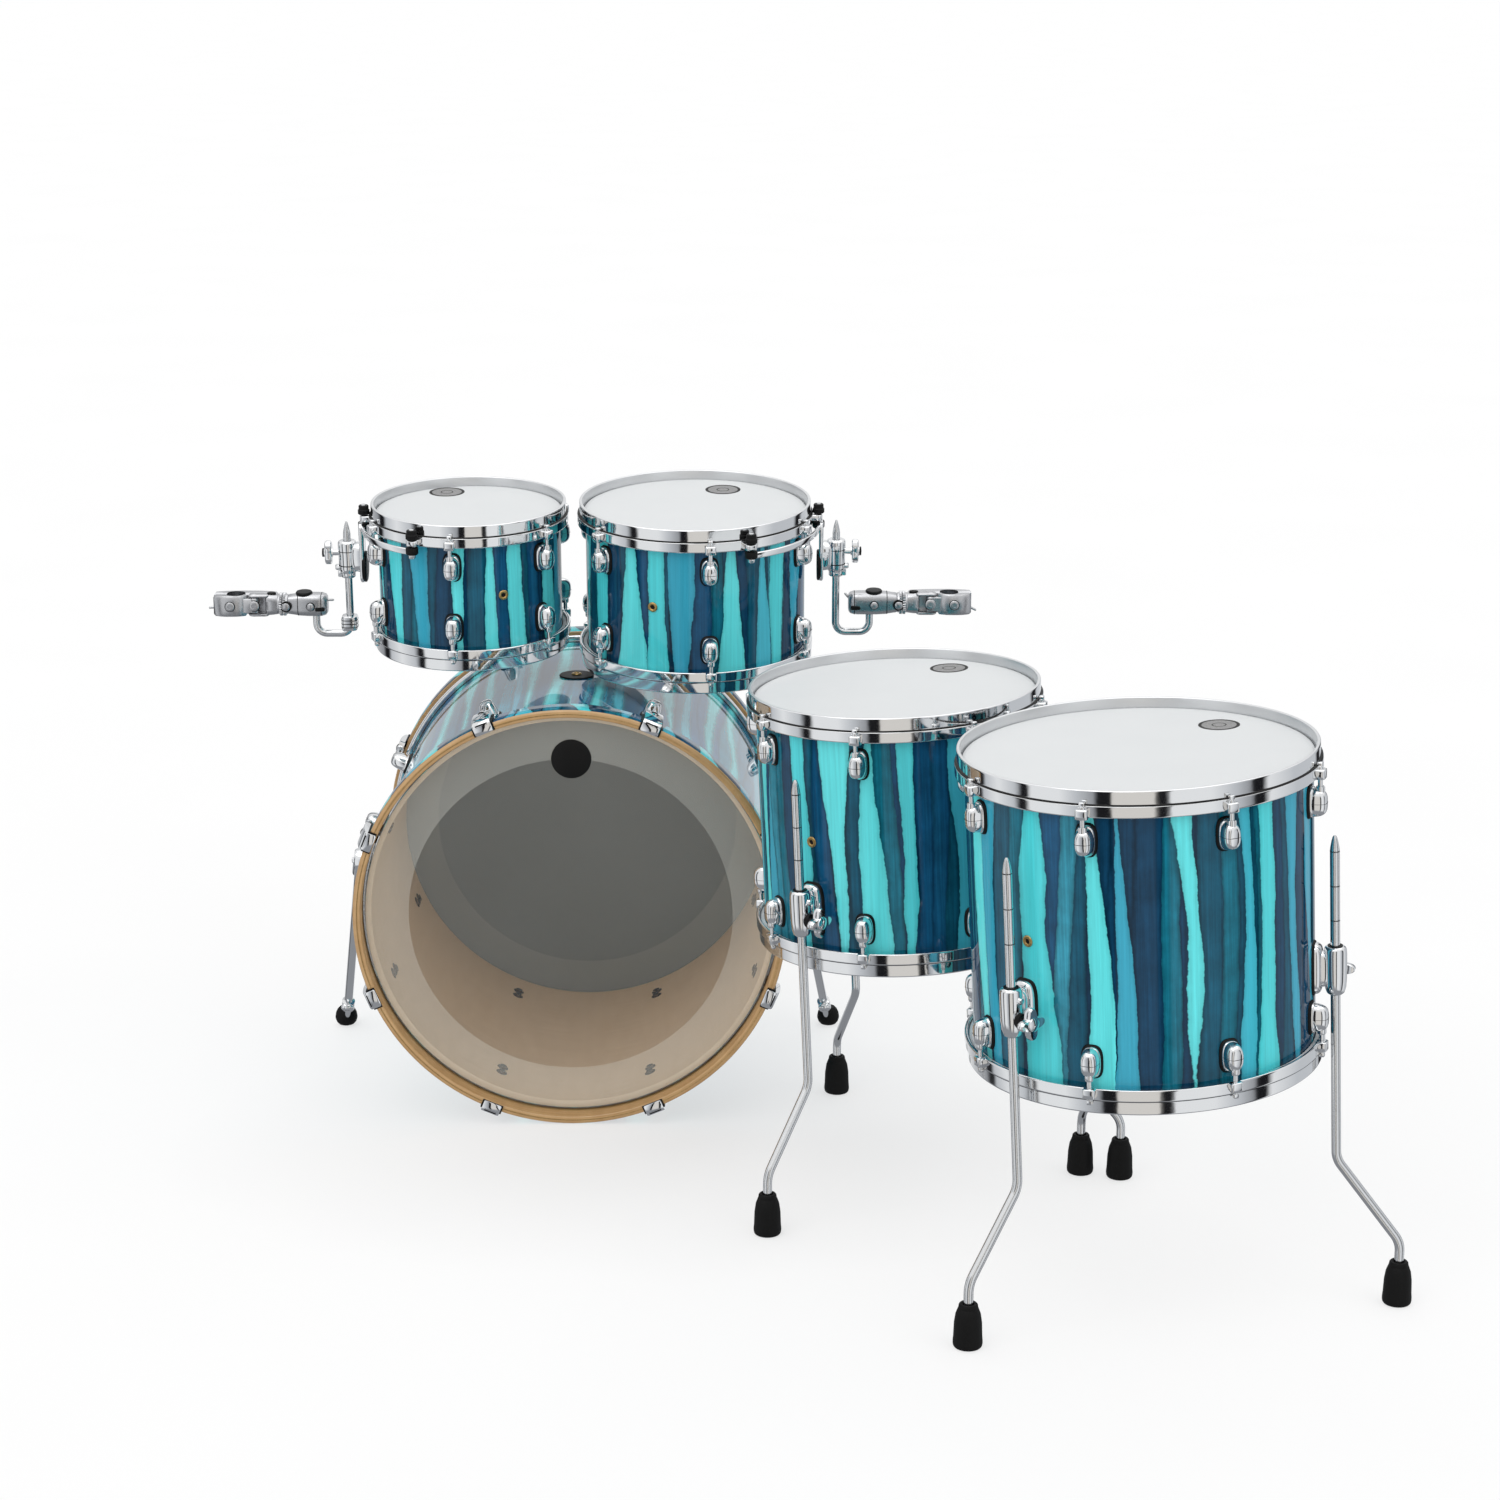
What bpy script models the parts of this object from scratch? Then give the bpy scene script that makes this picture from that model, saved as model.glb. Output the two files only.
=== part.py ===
"""Five-drum shell pack: bass drum, two rack toms and two floor toms with their hardware.

Metres, +Z up, floor at z = 0. The audience side is -Y and the drummer sits on +Y.
Every drum is built upright in its own frame, with its origin at the centre of the
lower shell edge, and that frame is then placed in the layout. The bass drum's frame
lies down, so that its own +Z points to the audience.
"""

import math
from dataclasses import dataclass

import bmesh
import bpy
from mathutils import Matrix, Quaternion, Vector

INCH = 0.0254
GAP = 0.0003  # seat or running gap between two neighbouring pieces
FULL_TURN = 2.0 * math.pi

# Drum heads
FILM = 0.0010
COLLAR_CLEARANCE = 0.0008
COLLAR_WALL = 0.0010
FLESH_HOOP_WIDTH = 0.0047
FLESH_HOOP_HEIGHT = 0.0075

# Die-cast tom hoops
TOM_SHELL_WALL = 0.0070
RIM_HEIGHT = 0.0140
RIM_WALL = 0.0040
RIM_STANDOFF = 0.0040
LIP_DEPTH = 0.0057
FLANGE_WIDTH = 0.0045
FLANGE_HEIGHT = 0.0113
HOOP_CLEARANCE = 0.0010

# Tension rods and lugs
ROD_RADIUS = 0.0030
ROD_STANDOFF = 0.0130
EAR_HALF = 0.0065
EAR_HEIGHT = 0.0110
LUG_DEPTH = 0.0460
LUG_HEIGHT = 0.0360
LUG_PROJECTION = 0.0210
LUG_HALF_WIDTH = 0.0110

# Bass drum
BASS_DIAMETER = 22.0 * INCH
BASS_DEPTH = 18.0 * INCH
BASS_SHELL_WALL = 0.0080
BASS_SEGMENTS = 40
BASS_LUGS = 8
BASS_LUG_ANGLE = 22.5
BASS_HOOP_WIDTH = 0.0380
BASS_HOOP_THICKNESS = 0.0116
BASS_HOOP_STANDOFF = 0.0035
BASS_HOOP_OVERHANG = 0.0250
BASS_HOOP_CHAMFER = 0.0030
BASS_FLESH_HOOP_WIDTH = 0.0087
BASS_FLESH_HOOP_HEIGHT = 0.0080
BASS_LUG_DEPTH = 0.0700
BASS_LUG_HEIGHT = 0.0400
BASS_LUG_HALF_WIDTH = 0.0120
BASS_LUG_PROJECTION = 0.0280
CLAW_LIP = 0.0035
CLAW_REACH = 0.0075
CLAW_PLATE = 0.0085
CLAW_HALF_WIDTH = 0.0120
CLAW_OVERRUN = 0.0040
CLAW_BITE = 0.0020

# Bass drum spurs, one on each side
SPUR_FROM_FRONT = 0.1750
SPUR_RISE = 0.0243
SPUR_BRACKET_DEPTH = 0.0200
SPUR_BRACKET_HALF = 0.0200
SPUR_KNUCKLE_WIDTH = 0.0145
SPUR_KNUCKLE_RADIUS = 0.0170
SPUR_ROD_RADIUS = 0.0060
SPUR_FOOT_OUT = 0.3610
SPUR_FOOT_BACK = 0.1980
SPUR_FOOT_PROFILE = ((0.0080, 0.0), (0.0145, 0.0035), (0.0165, 0.0120), (0.0150, 0.0210), (0.0090, 0.0270))

# Floor tom legs, all six alike
LEG_RADIUS = 0.00575
LEG_STANDOFF = 0.0250
LEG_STRAIGHT = 0.4020
LEG_TIP = 0.0180
LEG_BEND_HEIGHT = 0.1750
LEG_LOWER_BEND_HEIGHT = 0.0780
LEG_SPLAY = 0.0800
LEG_BEND_RADIUS = 0.0300
FOOT_HEIGHT = 0.0540
FOOT_RADIUS = 0.0185
FOOT_TOP_RADIUS = 0.0105
FOOT_SOLE = 0.0140
BORE_CLEARANCE = 0.0010
BRACKET_HALF_WIDTH = 0.0155
BRACKET_HALF_HEIGHT = 0.0280
BRACKET_OUTER = 0.0105
WING_REACH = 0.0200
WING_HALF_SPAN = 0.0150

# Rack tom holders
HOLDER_ROD_RADIUS = 0.00525
HOLDER_ROD_STANDOFF = 0.0440
HOLDER_ROD_TOP = 0.0300
HOLDER_ROD_BOTTOM = 0.1930
HOLDER_ROD_TIP = 0.0180
POINT_SHARE = 0.3
HOLDER_ROD_BEND = 0.0140
CROSSOVER = 0.0475
BAR_INNER = 0.0170
BAR_THICKNESS = 0.0040
BAR_TOP = 0.0330
BAR_HEIGHT = 0.0085
BAR_SPREAD = 63.0
BAR_STEPS = 12
MOUNT_EAR_OUTER = 0.0245
MOUNT_EAR_HALF = 0.0080
POST_HALF = 0.0045
PLATE_THICKNESS = 0.0060
PLATE_HALF_WIDTH = 0.0180
PLATE_BOTTOM = 0.1160
DISC_RADIUS = 0.0220
DISC_THICKNESS = 0.0050
SOCKET_TOP = 0.0620
SOCKET_HEIGHT = 0.0380
SOCKET_HALF = 0.0150
LOCK_HEIGHT = 0.0100
LOCK_OUTER = 0.0130
CLAMP_DEPTH = 0.1500
CLAMP_HALF_HEIGHT = 0.0155
CLAMP_HALF_DEPTH = 0.0150
RATCHET_REACH = 0.0460
RATCHET_RADIUS = 0.0165
RATCHET_THICKNESS = 0.0080
HOLDER_END = 0.0215
STAND_ARM = 0.1040
STAND_TUBE_REACH = 0.0660
STAND_TUBE_RADIUS = 0.0130
JAW_HINGE_REACH = 0.0400
JAW_PIN_RADIUS = 0.0030
JAW_EYE = 0.0075
JAW_HALF_HEIGHT = 0.0105
JAW_MOUTH = 0.0015


@dataclass(frozen=True)
class Tom:
    """One tom: shell size, lug pattern and the place of its top rim in the layout."""

    name: str
    diameter: float
    depth: float
    lugs: int
    lug_angle: float
    rim: tuple
    tilt: tuple
    segments: int

    @property
    def radius(self):
        """Outer radius of the shell."""
        return self.diameter / 2.0

    @property
    def frame(self):
        """Matrix from the tom's own frame to the layout."""
        turn = Matrix.Rotation(math.radians(self.tilt[1]), 4, "Y")
        turn = turn @ Matrix.Rotation(math.radians(self.tilt[0]), 4, "X")
        foot = Vector(self.rim) - turn.to_3x3() @ Vector((0.0, 0.0, self.depth + RIM_HEIGHT))
        return Matrix.Translation(foot) @ turn


BASS_RADIUS = BASS_DIAMETER / 2.0
BASS_HOOP_INNER = BASS_RADIUS + BASS_HOOP_STANDOFF
BASS_HOOP_OUTER = BASS_HOOP_INNER + BASS_HOOP_THICKNESS
BASS_AXIS_HEIGHT = BASS_HOOP_OUTER * math.cos(math.pi / BASS_SEGMENTS)
BASS_TOP = BASS_AXIS_HEIGHT + BASS_RADIUS

TOM_10 = Tom("tom_10", 10 * INCH, 7 * INCH, 6, -36.0, (-0.1470, 0.2620, BASS_TOP + 0.2480), (4.5, 0.0), 28)
TOM_12 = Tom("tom_12", 12 * INCH, 8 * INCH, 6, -22.0, (0.1675, 0.2610, BASS_TOP + 0.2500), (4.9, 0.0), 28)
FLOOR_14 = Tom("floor_14", 14 * INCH, 12 * INCH, 8, -107.3, (0.4265, -0.1485, 0.6630), (0.0, -2.6), 32)
FLOOR_16 = Tom("floor_16", 16 * INCH, 14 * INCH, 8, -113.5, (0.6955, -0.4730, 0.6710), (0.0, -3.1), 32)
RACK_TOMS = ((TOM_10, 180.0), (TOM_12, 0.0))
FLOOR_TOMS = ((FLOOR_14, (-130.5, -7.0, 107.0), 0.0670), (FLOOR_16, (-137.5, -17.5, 98.0), 0.1000))

BASS_ROD_STANDOFF = BASS_HOOP_OUTER + ROD_RADIUS + 0.0015 - BASS_RADIUS
BASS_FRAME = Matrix.Translation((0.0, BASS_HOOP_OVERHANG + BASS_DEPTH, BASS_AXIS_HEIGHT)) @ Matrix.Rotation(
    math.pi / 2.0, 4, "X"
)


# Materials

def material(name, colour, roughness, metallic=0.0):
    """Return a Principled material, made once for each name."""
    found = bpy.data.materials.get(name)
    if found:
        return found
    made = bpy.data.materials.new(name)
    made.use_nodes = True
    made.diffuse_color = (*colour, 1.0)
    shader = made.node_tree.nodes["Principled BSDF"]
    shader.inputs["Base Color"].default_value = (*colour, 1.0)
    shader.inputs["Roughness"].default_value = roughness
    shader.inputs["Metallic"].default_value = metallic
    return made


def chrome():
    """Polished plating of the hoops, lugs, rods and clamps."""
    return material("chrome", (0.80, 0.81, 0.83), 0.08, 1.0)


def lacquer():
    """Blue lacquer of the shells."""
    return material("blue_lacquer", (0.05, 0.35, 0.50), 0.15)


def maple():
    """Clear-finished maple of the bass drum hoops."""
    return material("maple", (0.55, 0.33, 0.13), 0.35)


def coated_film():
    """White coated film of the playing heads."""
    return material("coated_film", (0.88, 0.89, 0.90), 0.55)


def smoked_film():
    """Smoky film of the bass drum's front head."""
    return material("smoked_film", (0.30, 0.29, 0.27), 0.25)


def rubber():
    """Black rubber of the feet."""
    return material("black_rubber", (0.02, 0.02, 0.02), 0.60)


# Building blocks

def add_object(name, mesh_data, parent, look=None, place=None):
    """Link an object that carries mesh_data under parent, at a matrix in the parent's frame."""
    made = bpy.data.objects.new(name, mesh_data)
    bpy.context.scene.collection.objects.link(made)
    made.parent = parent
    made.matrix_local = place if place is not None else Matrix.Identity(4)
    if look is not None:
        mesh_data.materials.append(look)
    return made


def finish_mesh(name, shape, sharp_angle=35.0):
    """Turn a bmesh into mesh data whose faces point out and whose round sides are smooth."""
    bmesh.ops.recalc_face_normals(shape, faces=shape.faces)
    data = bpy.data.meshes.new(name)
    shape.to_mesh(data)
    shape.free()
    data.shade_smooth()
    data.set_sharp_from_angle(angle=math.radians(sharp_angle))
    return data


def frame_empty(name, matrix, parent=None):
    """Add an empty that carries one frame of the layout."""
    made = bpy.data.objects.new(name, None)
    bpy.context.scene.collection.objects.link(made)
    made.parent = parent
    made.matrix_local = matrix
    return made


def turned(name, profile, segments, closed=True, phase=0.0):
    """Spin (radius, height) points about Z: a ring, or a solid whose two ends are filled."""
    shape = bmesh.new()
    corners = [shape.verts.new((radius, 0.0, height)) for radius, height in profile]
    following = corners[1:] + corners[:1] if closed else corners[1:]
    edges = [shape.edges.new(pair) for pair in zip(corners, following)]
    bmesh.ops.rotate(shape, verts=corners, cent=(0, 0, 0), matrix=Matrix.Rotation(phase, 3, "Z"))
    bmesh.ops.spin(
        shape, geom=corners + edges, cent=(0, 0, 0), axis=(0, 0, 1), angle=FULL_TURN, steps=segments,
        use_merge=True
    )
    if not closed:
        rims = [edge for edge in shape.edges if edge.is_boundary]
        bmesh.ops.holes_fill(shape, edges=rims, sides=0)
    return finish_mesh(name, shape)


def loft(shape, rings):
    """Join rings of equal length with faces and fill the first and last ring."""
    for lower, upper in zip(rings, rings[1:]):
        count = len(lower)
        for index in range(count):
            after = (index + 1) % count
            shape.faces.new((lower[index], lower[after], upper[after], upper[index]))
    shape.faces.new(rings[0])
    shape.faces.new(rings[-1])


def stack(shape, sections, place):
    """Loft four-cornered sections (height, inner, outer, half width) along a piece of hardware."""
    rings = []
    for height, inner, outer, half in sections:
        corners = ((inner, -half), (outer, -half), (outer, half), (inner, half))
        rings.append([shape.verts.new(place @ Vector((out, side, height))) for out, side in corners])
    loft(shape, rings)


def round_ring(shape, radius, sides, place, phase=0.0):
    """Add one ring of vertices, a polygon in the XY plane of place."""
    angles = [phase + FULL_TURN * index / sides for index in range(sides)]
    spots = [Vector((radius * math.cos(a), radius * math.sin(a), 0.0)) for a in angles]
    return [shape.verts.new(place @ spot) for spot in spots]


def round_bar(shape, start, end, radius, sides, end_radius=None):
    """Add a straight round bar between two points."""
    along = Vector(end) - Vector(start)
    turn = along.to_track_quat("Z", "Y").to_matrix().to_4x4()
    first = round_ring(shape, radius, sides, Matrix.Translation(start) @ turn)
    last = round_ring(shape, end_radius or radius, sides, Matrix.Translation(end) @ turn)
    loft(shape, [first, last])


def socket_block(shape, low, high, inner, outer, half, bore):
    """Add a block with a round upright bore at the origin of its outline."""
    corners = ((-1, -1), (0, -1), (1, -1), (1, 0), (1, 1), (0, 1), (-1, 1), (-1, 0))
    outline = [((outer if out > 0 else inner if out < 0 else 0.0), side * half) for out, side in corners]
    bore_radius = bore / math.cos(math.pi / 8.0)
    hole = [(bore_radius * math.cos(a), bore_radius * math.sin(a))
            for a in (math.atan2(side, out) for out, side in corners)]
    rings = [[shape.verts.new((x, y, z)) for x, y in points]
             for points, z in ((outline, low), (outline, high), (hole, high), (hole, low))]
    for lower, upper in zip(rings, rings[1:] + rings[:1]):
        for index in range(8):
            after = (index + 1) % 8
            shape.faces.new((lower[index], lower[after], upper[after], upper[index]))


def combine(target, tool, operation="UNION"):
    """Join a guide to a piece, or cut it away, and keep the guide out of the model."""
    tool.hide_render = True
    tool.display_type = "WIRE"
    joined = target.modifiers.new(tool.name, "BOOLEAN")
    joined.operation = operation
    joined.object = tool


def guide(name, shape, parent, place=None):
    """Add a helper solid that a Boolean reads."""
    return add_object("guide_" + name, finish_mesh("guide_" + name, shape), parent, None, place)


def around(angle):
    """Matrix that turns a piece built at +X to an angle in degrees about Z."""
    return Matrix.Rotation(math.radians(angle), 4, "Z")


def rounded_path(points, radius, steps):
    """Replace each inner corner of a route by an arc of the given radius."""
    points = [Vector(point) for point in points]
    route = [points[0]]
    for before, corner, after in zip(points, points[1:], points[2:]):
        arriving = (corner - before).normalized()
        leaving = (after - corner).normalized()
        bend = arriving.angle(leaving)
        reach = radius * math.tan(bend / 2.0)
        middle = corner + (leaving - arriving).normalized() * (radius / math.cos(bend / 2.0))
        axis = arriving.cross(leaving).normalized()
        spoke = corner - arriving * reach - middle
        for step in range(steps + 1):
            route.append(middle + Quaternion(axis, bend * step / steps) @ spoke)
    route.append(points[-1])
    return route


def bent_rod(name, route, radius, tip, parent, place):
    """A round bar along a route whose first end is drawn out to a blunt point."""
    curve = bpy.data.curves.new(name, "CURVE")
    curve.dimensions = "3D"
    curve.bevel_depth = radius
    curve.bevel_resolution = 1
    curve.use_fill_caps = True
    start = route[0] + (route[1] - route[0]).normalized() * tip
    route = [route[0], start, *route[1:]]
    spline = curve.splines.new("POLY")
    spline.points.add(len(route) - 1)
    for point, spot in zip(spline.points, route):
        point.co = (*spot, 1.0)
    spline.points[0].radius = POINT_SHARE
    return add_object(name, curve, parent, chrome(), place)


def head(name, radius, segments, collar, flesh_width, flesh_height, parent, place, look):
    """A head: the film over the shell edge, its collar outside the shell and its flesh hoop."""
    inner = radius + COLLAR_CLEARANCE
    outer = inner + COLLAR_WALL
    profile = (
        (outer, GAP + FILM),
        (outer, -collar),
        (inner + flesh_width, -collar),
        (inner + flesh_width, -collar - flesh_height),
        (inner, -collar - flesh_height),
        (inner, GAP),
    )
    return add_object(name, turned(name, profile, segments, closed=False), parent, look, place)


def shell(name, radius, wall, depth, segments, parent):
    """A plain cylindrical shell whose bearing edges slope to the inside."""
    inner = radius - wall
    profile = ((radius, 0.0), (radius, depth), (inner, depth - wall / 2.0), (inner, wall / 2.0))
    return add_object(name, turned(name, profile, segments), parent, lacquer())


def saddle(target, radius, depth, segments, parent):
    """Cut a bracket's back to the shell that it is bolted to, less the seat gap."""
    grown = radius + GAP
    profile = ((grown, -RIM_HEIGHT), (grown, depth + RIM_HEIGHT))
    cut = turned("saddle", profile, segments, closed=False)
    tool = add_object("guide_saddle_" + target.name, cut, parent)
    combine(target, tool, "DIFFERENCE")


# Toms

def tom_hoop(tom, name, end, parent, lug_angle, ears=()):
    """A die-cast hoop with its tension rods and their lugs; ears are the mount ears' angles."""
    radius = tom.radius
    inner = radius + RIM_STANDOFF
    outer = inner + RIM_WALL
    skirt_inner = radius + COLLAR_CLEARANCE + FLESH_HOOP_WIDTH + HOOP_CLEARANCE
    skirt_outer = skirt_inner + FLANGE_WIDTH
    lip = -LIP_DEPTH
    skirt = lip - FLANGE_HEIGHT
    profile = (
        (inner, RIM_HEIGHT),
        (outer, RIM_HEIGHT),
        (skirt_outer, lip),
        (skirt_outer, skirt),
        (skirt_inner, skirt),
        (skirt_inner, lip),
        (inner, lip),
    )
    hoop = add_object(name, turned(name, profile, tom.segments), parent, chrome(), end)
    rod = radius + ROD_STANDOFF
    foot = radius + 0.0004
    ear_low = skirt - 0.0015
    ear = (rod - EAR_HALF, rod + EAR_HALF, EAR_HALF)
    bar = (rod - ROD_RADIUS, rod + ROD_RADIUS, ROD_RADIUS)
    lug_top = LUG_HEIGHT / 2.0 - LUG_DEPTH
    lug_low = -LUG_HEIGHT / 2.0 - LUG_DEPTH
    lug_end = (foot, foot + 0.75 * LUG_PROJECTION, 0.6 * LUG_HALF_WIDTH)
    sections = (
        (ear_low + EAR_HEIGHT, *ear),
        (ear_low, *ear),
        (ear_low, *bar),
        (lug_top, *bar),
        (lug_top, *lug_end),
        (-LUG_DEPTH, foot, foot + LUG_PROJECTION, LUG_HALF_WIDTH),
        (lug_low, *lug_end),
    )
    hardware = bmesh.new()
    for index in range(tom.lugs):
        stack(hardware, sections, around(lug_angle + 360.0 * index / tom.lugs))
    for angle in ears:
        top = lip - 0.0010
        bottom = skirt + 0.0010
        block = (skirt_inner + 0.0010, radius + MOUNT_EAR_OUTER, MOUNT_EAR_HALF)
        stack(hardware, ((top, *block), (bottom, *block)), around(angle))
    combine(hoop, guide("hardware_" + name, hardware, parent, end))
    return hoop


def drum_body(tom, layout, mount_ears=()):
    """Shell, two hoops and two heads of one tom, under an empty that carries its frame."""
    parent = frame_empty("frame_" + tom.name, tom.frame, layout)
    upper = Matrix.Translation((0.0, 0.0, tom.depth))
    lower = Matrix.Rotation(math.pi, 4, "X")
    shell(tom.name + "_shell", tom.radius, TOM_SHELL_WALL, tom.depth, tom.segments, parent)
    tom_hoop(tom, tom.name + "_top_hoop", upper, parent, tom.lug_angle, mount_ears)
    tom_hoop(tom, tom.name + "_bottom_hoop", lower, parent, -tom.lug_angle)
    for name, end in (("_batter_head", upper), ("_resonant_head", lower)):
        head(tom.name + name, tom.radius, tom.segments, LIP_DEPTH + GAP, FLESH_HOOP_WIDTH, FLESH_HOOP_HEIGHT,
             parent, end, coated_film())
    return parent


# Floor toms

def leg_bracket(tom, number, angle, height, parent):
    """The block bolted to the shell that guides one leg, with its wing bolt."""
    name = f"{tom.name}_leg_bracket_{number}"
    block = bmesh.new()
    socket_block(block, -BRACKET_HALF_HEIGHT, BRACKET_HALF_HEIGHT, -LEG_STANDOFF - 0.0060, BRACKET_OUTER,
                 BRACKET_HALF_WIDTH, LEG_RADIUS + BORE_CLEARANCE / 2.0)
    place = around(angle) @ Matrix.Translation((tom.radius + LEG_STANDOFF, 0.0, height))
    bracket = add_object(name, finish_mesh(name, block), parent, chrome(), place)
    saddle(bracket, tom.radius, tom.depth, tom.segments, parent)
    wing = bmesh.new()
    start = BRACKET_HALF_WIDTH - 0.0020
    waist = BRACKET_HALF_WIDTH + 0.45 * WING_REACH
    sideways = Matrix.Rotation(-math.pi / 2.0, 4, "X")
    stack(wing, ((start, -0.0040, 0.0040, 0.0040), (waist, -0.0040, 0.0040, 0.0040),
                 (waist, -0.0030, 0.0030, WING_HALF_SPAN),
                 (BRACKET_HALF_WIDTH + WING_REACH, -0.0025, 0.0025, 0.85 * WING_HALF_SPAN)), sideways)
    combine(bracket, guide("wing_" + name, wing, parent, place))
    return bracket


def leg_points(tom, angle):
    """Route of one leg in the layout: tip, upper bend, lower bend and end inside the foot."""
    frame = tom.frame
    axis = (frame.to_3x3() @ Vector((0.0, 0.0, 1.0))).normalized()
    outward = around(angle) @ Vector((1.0, 0.0, 0.0))
    base = frame @ (outward * (tom.radius + LEG_STANDOFF))
    bend = base + axis * ((LEG_BEND_HEIGHT - base.z) / axis.z)
    splay = frame.to_3x3() @ outward
    splay.z = 0.0
    lower = bend + splay.normalized() * LEG_SPLAY
    return (
        bend + axis * LEG_STRAIGHT,
        bend,
        Vector((lower.x, lower.y, LEG_LOWER_BEND_HEIGHT)),
        Vector((lower.x, lower.y, FOOT_SOLE + GAP)),
    )


def leg_and_foot(tom, number, angle, layout):
    """One bent leg rod and the rubber foot that is pushed on its end."""
    points = leg_points(tom, angle)
    place = Matrix.Translation(points[1])
    route = rounded_path([point - points[1] for point in points], LEG_BEND_RADIUS, 2)
    bent_rod(f"{tom.name}_leg_{number}", route, LEG_RADIUS, LEG_TIP, layout, place)
    bore = (LEG_RADIUS + BORE_CLEARANCE / 2.0) / math.cos(math.pi / 10.0)
    profile = (
        (FOOT_RADIUS - 0.0020, 0.0),
        (FOOT_RADIUS, 0.0060),
        (FOOT_RADIUS - 0.0020, 0.6 * FOOT_HEIGHT),
        (FOOT_TOP_RADIUS, FOOT_HEIGHT),
        (bore, FOOT_HEIGHT),
        (bore, FOOT_SOLE),
    )
    name = f"{tom.name}_foot_{number}"
    spot = Matrix.Translation((points[3].x, points[3].y, 0.0))
    add_object(name, turned(name, profile, 10, closed=False), layout, rubber(), spot)


def floor_tom(tom, leg_angles, bracket_height, layout):
    """A floor tom on three adjustable legs, which stand between the lugs."""
    parent = drum_body(tom, layout)
    for number, angle in enumerate(leg_angles, 1):
        leg_bracket(tom, number, angle, bracket_height, parent)
        leg_and_foot(tom, number, angle, layout)


# Rack toms and their holders

def tom_mount(tom, side, parent):
    """Suspension mount: an arc bar under the hoop that carries the plate and the rod socket."""
    name = tom.name + "_mount"
    rim = tom.depth + RIM_HEIGHT
    inner = tom.radius + BAR_INNER
    outer = inner + BAR_THICKNESS
    bar = bmesh.new()
    low = rim - BAR_TOP - BAR_HEIGHT
    high = rim - BAR_TOP
    section = ((inner, 0, low), (outer, 0, low), (outer, 0, high), (inner, 0, high))
    corners = [bar.verts.new(spot) for spot in section]
    face = bar.faces.new(corners)
    half_spread = math.radians(BAR_SPREAD) + MOUNT_EAR_HALF / inner
    bmesh.ops.rotate(bar, verts=corners, cent=(0, 0, 0), matrix=Matrix.Rotation(-half_spread, 3, "Z"))
    bmesh.ops.spin(bar, geom=[face], cent=(0, 0, 0), axis=(0, 0, 1), angle=2.0 * half_spread, steps=BAR_STEPS)
    place = around(side)
    mount = add_object(name, finish_mesh(name, bar), parent, chrome(), place)
    ear_bottom = rim - RIM_HEIGHT - LIP_DEPTH - FLANGE_HEIGHT + 0.0010
    posts = bmesh.new()
    centre = (inner + outer) / 2.0
    for angle in (-BAR_SPREAD, 0.0, BAR_SPREAD):
        post = (centre - POST_HALF, centre + POST_HALF, POST_HALF)
        stack(posts, ((high - 0.0010, *post), (ear_bottom - GAP, *post)), around(angle))
    combine(mount, guide("posts_" + name, posts, parent, place))
    plate = bmesh.new()
    plate_inner = outer - 0.0010
    plate_size = (plate_inner, plate_inner + PLATE_THICKNESS, PLATE_HALF_WIDTH)
    stack(plate, ((rim - PLATE_BOTTOM, *plate_size), (high - 0.0005, *plate_size)), Matrix.Identity(4))
    combine(mount, guide("plate_" + name, plate, parent, place))
    disc = bmesh.new()
    level = rim - SOCKET_TOP - SOCKET_HEIGHT + 0.0060
    round_bar(disc, (plate_inner - DISC_THICKNESS + 0.0015, 0.0, level), (plate_inner + 0.0015, 0.0, level),
              DISC_RADIUS, 12)
    combine(mount, guide("disc_" + name, disc, parent, place))
    socket = bmesh.new()
    reach = tom.radius + HOLDER_ROD_STANDOFF
    socket_block(socket, rim - SOCKET_TOP - SOCKET_HEIGHT, rim - SOCKET_TOP,
                 plate_inner + PLATE_THICKNESS / 2.0 - reach, SOCKET_HALF * 0.8, SOCKET_HALF,
                 HOLDER_ROD_RADIUS + BORE_CLEARANCE / 2.0)
    combine(mount, guide("socket_" + name, socket, parent, place @ Matrix.Translation((reach, 0.0, 0.0))))
    return mount


def holder_frame(tom, side):
    """Frame on the rod's axis at rim height, with +X pointing away from the drum."""
    rim = Matrix.Translation((0.0, 0.0, tom.depth + RIM_HEIGHT))
    return tom.frame @ rim @ around(side) @ Matrix.Translation((tom.radius + HOLDER_ROD_STANDOFF, 0.0, 0.0))


def tom_rod(tom, frame, layout):
    """The rod that carries the tom: up through the mount, across below and up into the holder."""
    points = (
        (0.0, 0.0, -HOLDER_ROD_TOP),
        (0.0, 0.0, -HOLDER_ROD_BOTTOM),
        (CROSSOVER, 0.0, -HOLDER_ROD_BOTTOM),
        (CROSSOVER, 0.0, -CLAMP_DEPTH + CLAMP_HALF_HEIGHT - 0.0040),
    )
    route = rounded_path(points, HOLDER_ROD_BEND, 3)
    bent_rod(tom.name + "_rod", route, HOLDER_ROD_RADIUS, HOLDER_ROD_TIP, layout, frame)


def rod_lock(tom, frame, layout):
    """The collar on the rod that the mount rests on."""
    name = tom.name + "_rod_lock"
    shape = bmesh.new()
    socket_block(shape, -LOCK_HEIGHT, 0.0, -LOCK_OUTER * 0.8, LOCK_OUTER, LOCK_OUTER * 0.8,
                 HOLDER_ROD_RADIUS + BORE_CLEARANCE / 2.0)
    place = frame @ Matrix.Translation((0.0, 0.0, -SOCKET_TOP - SOCKET_HEIGHT - GAP))
    add_object(name, finish_mesh(name, shape), layout, chrome(), place)


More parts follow.
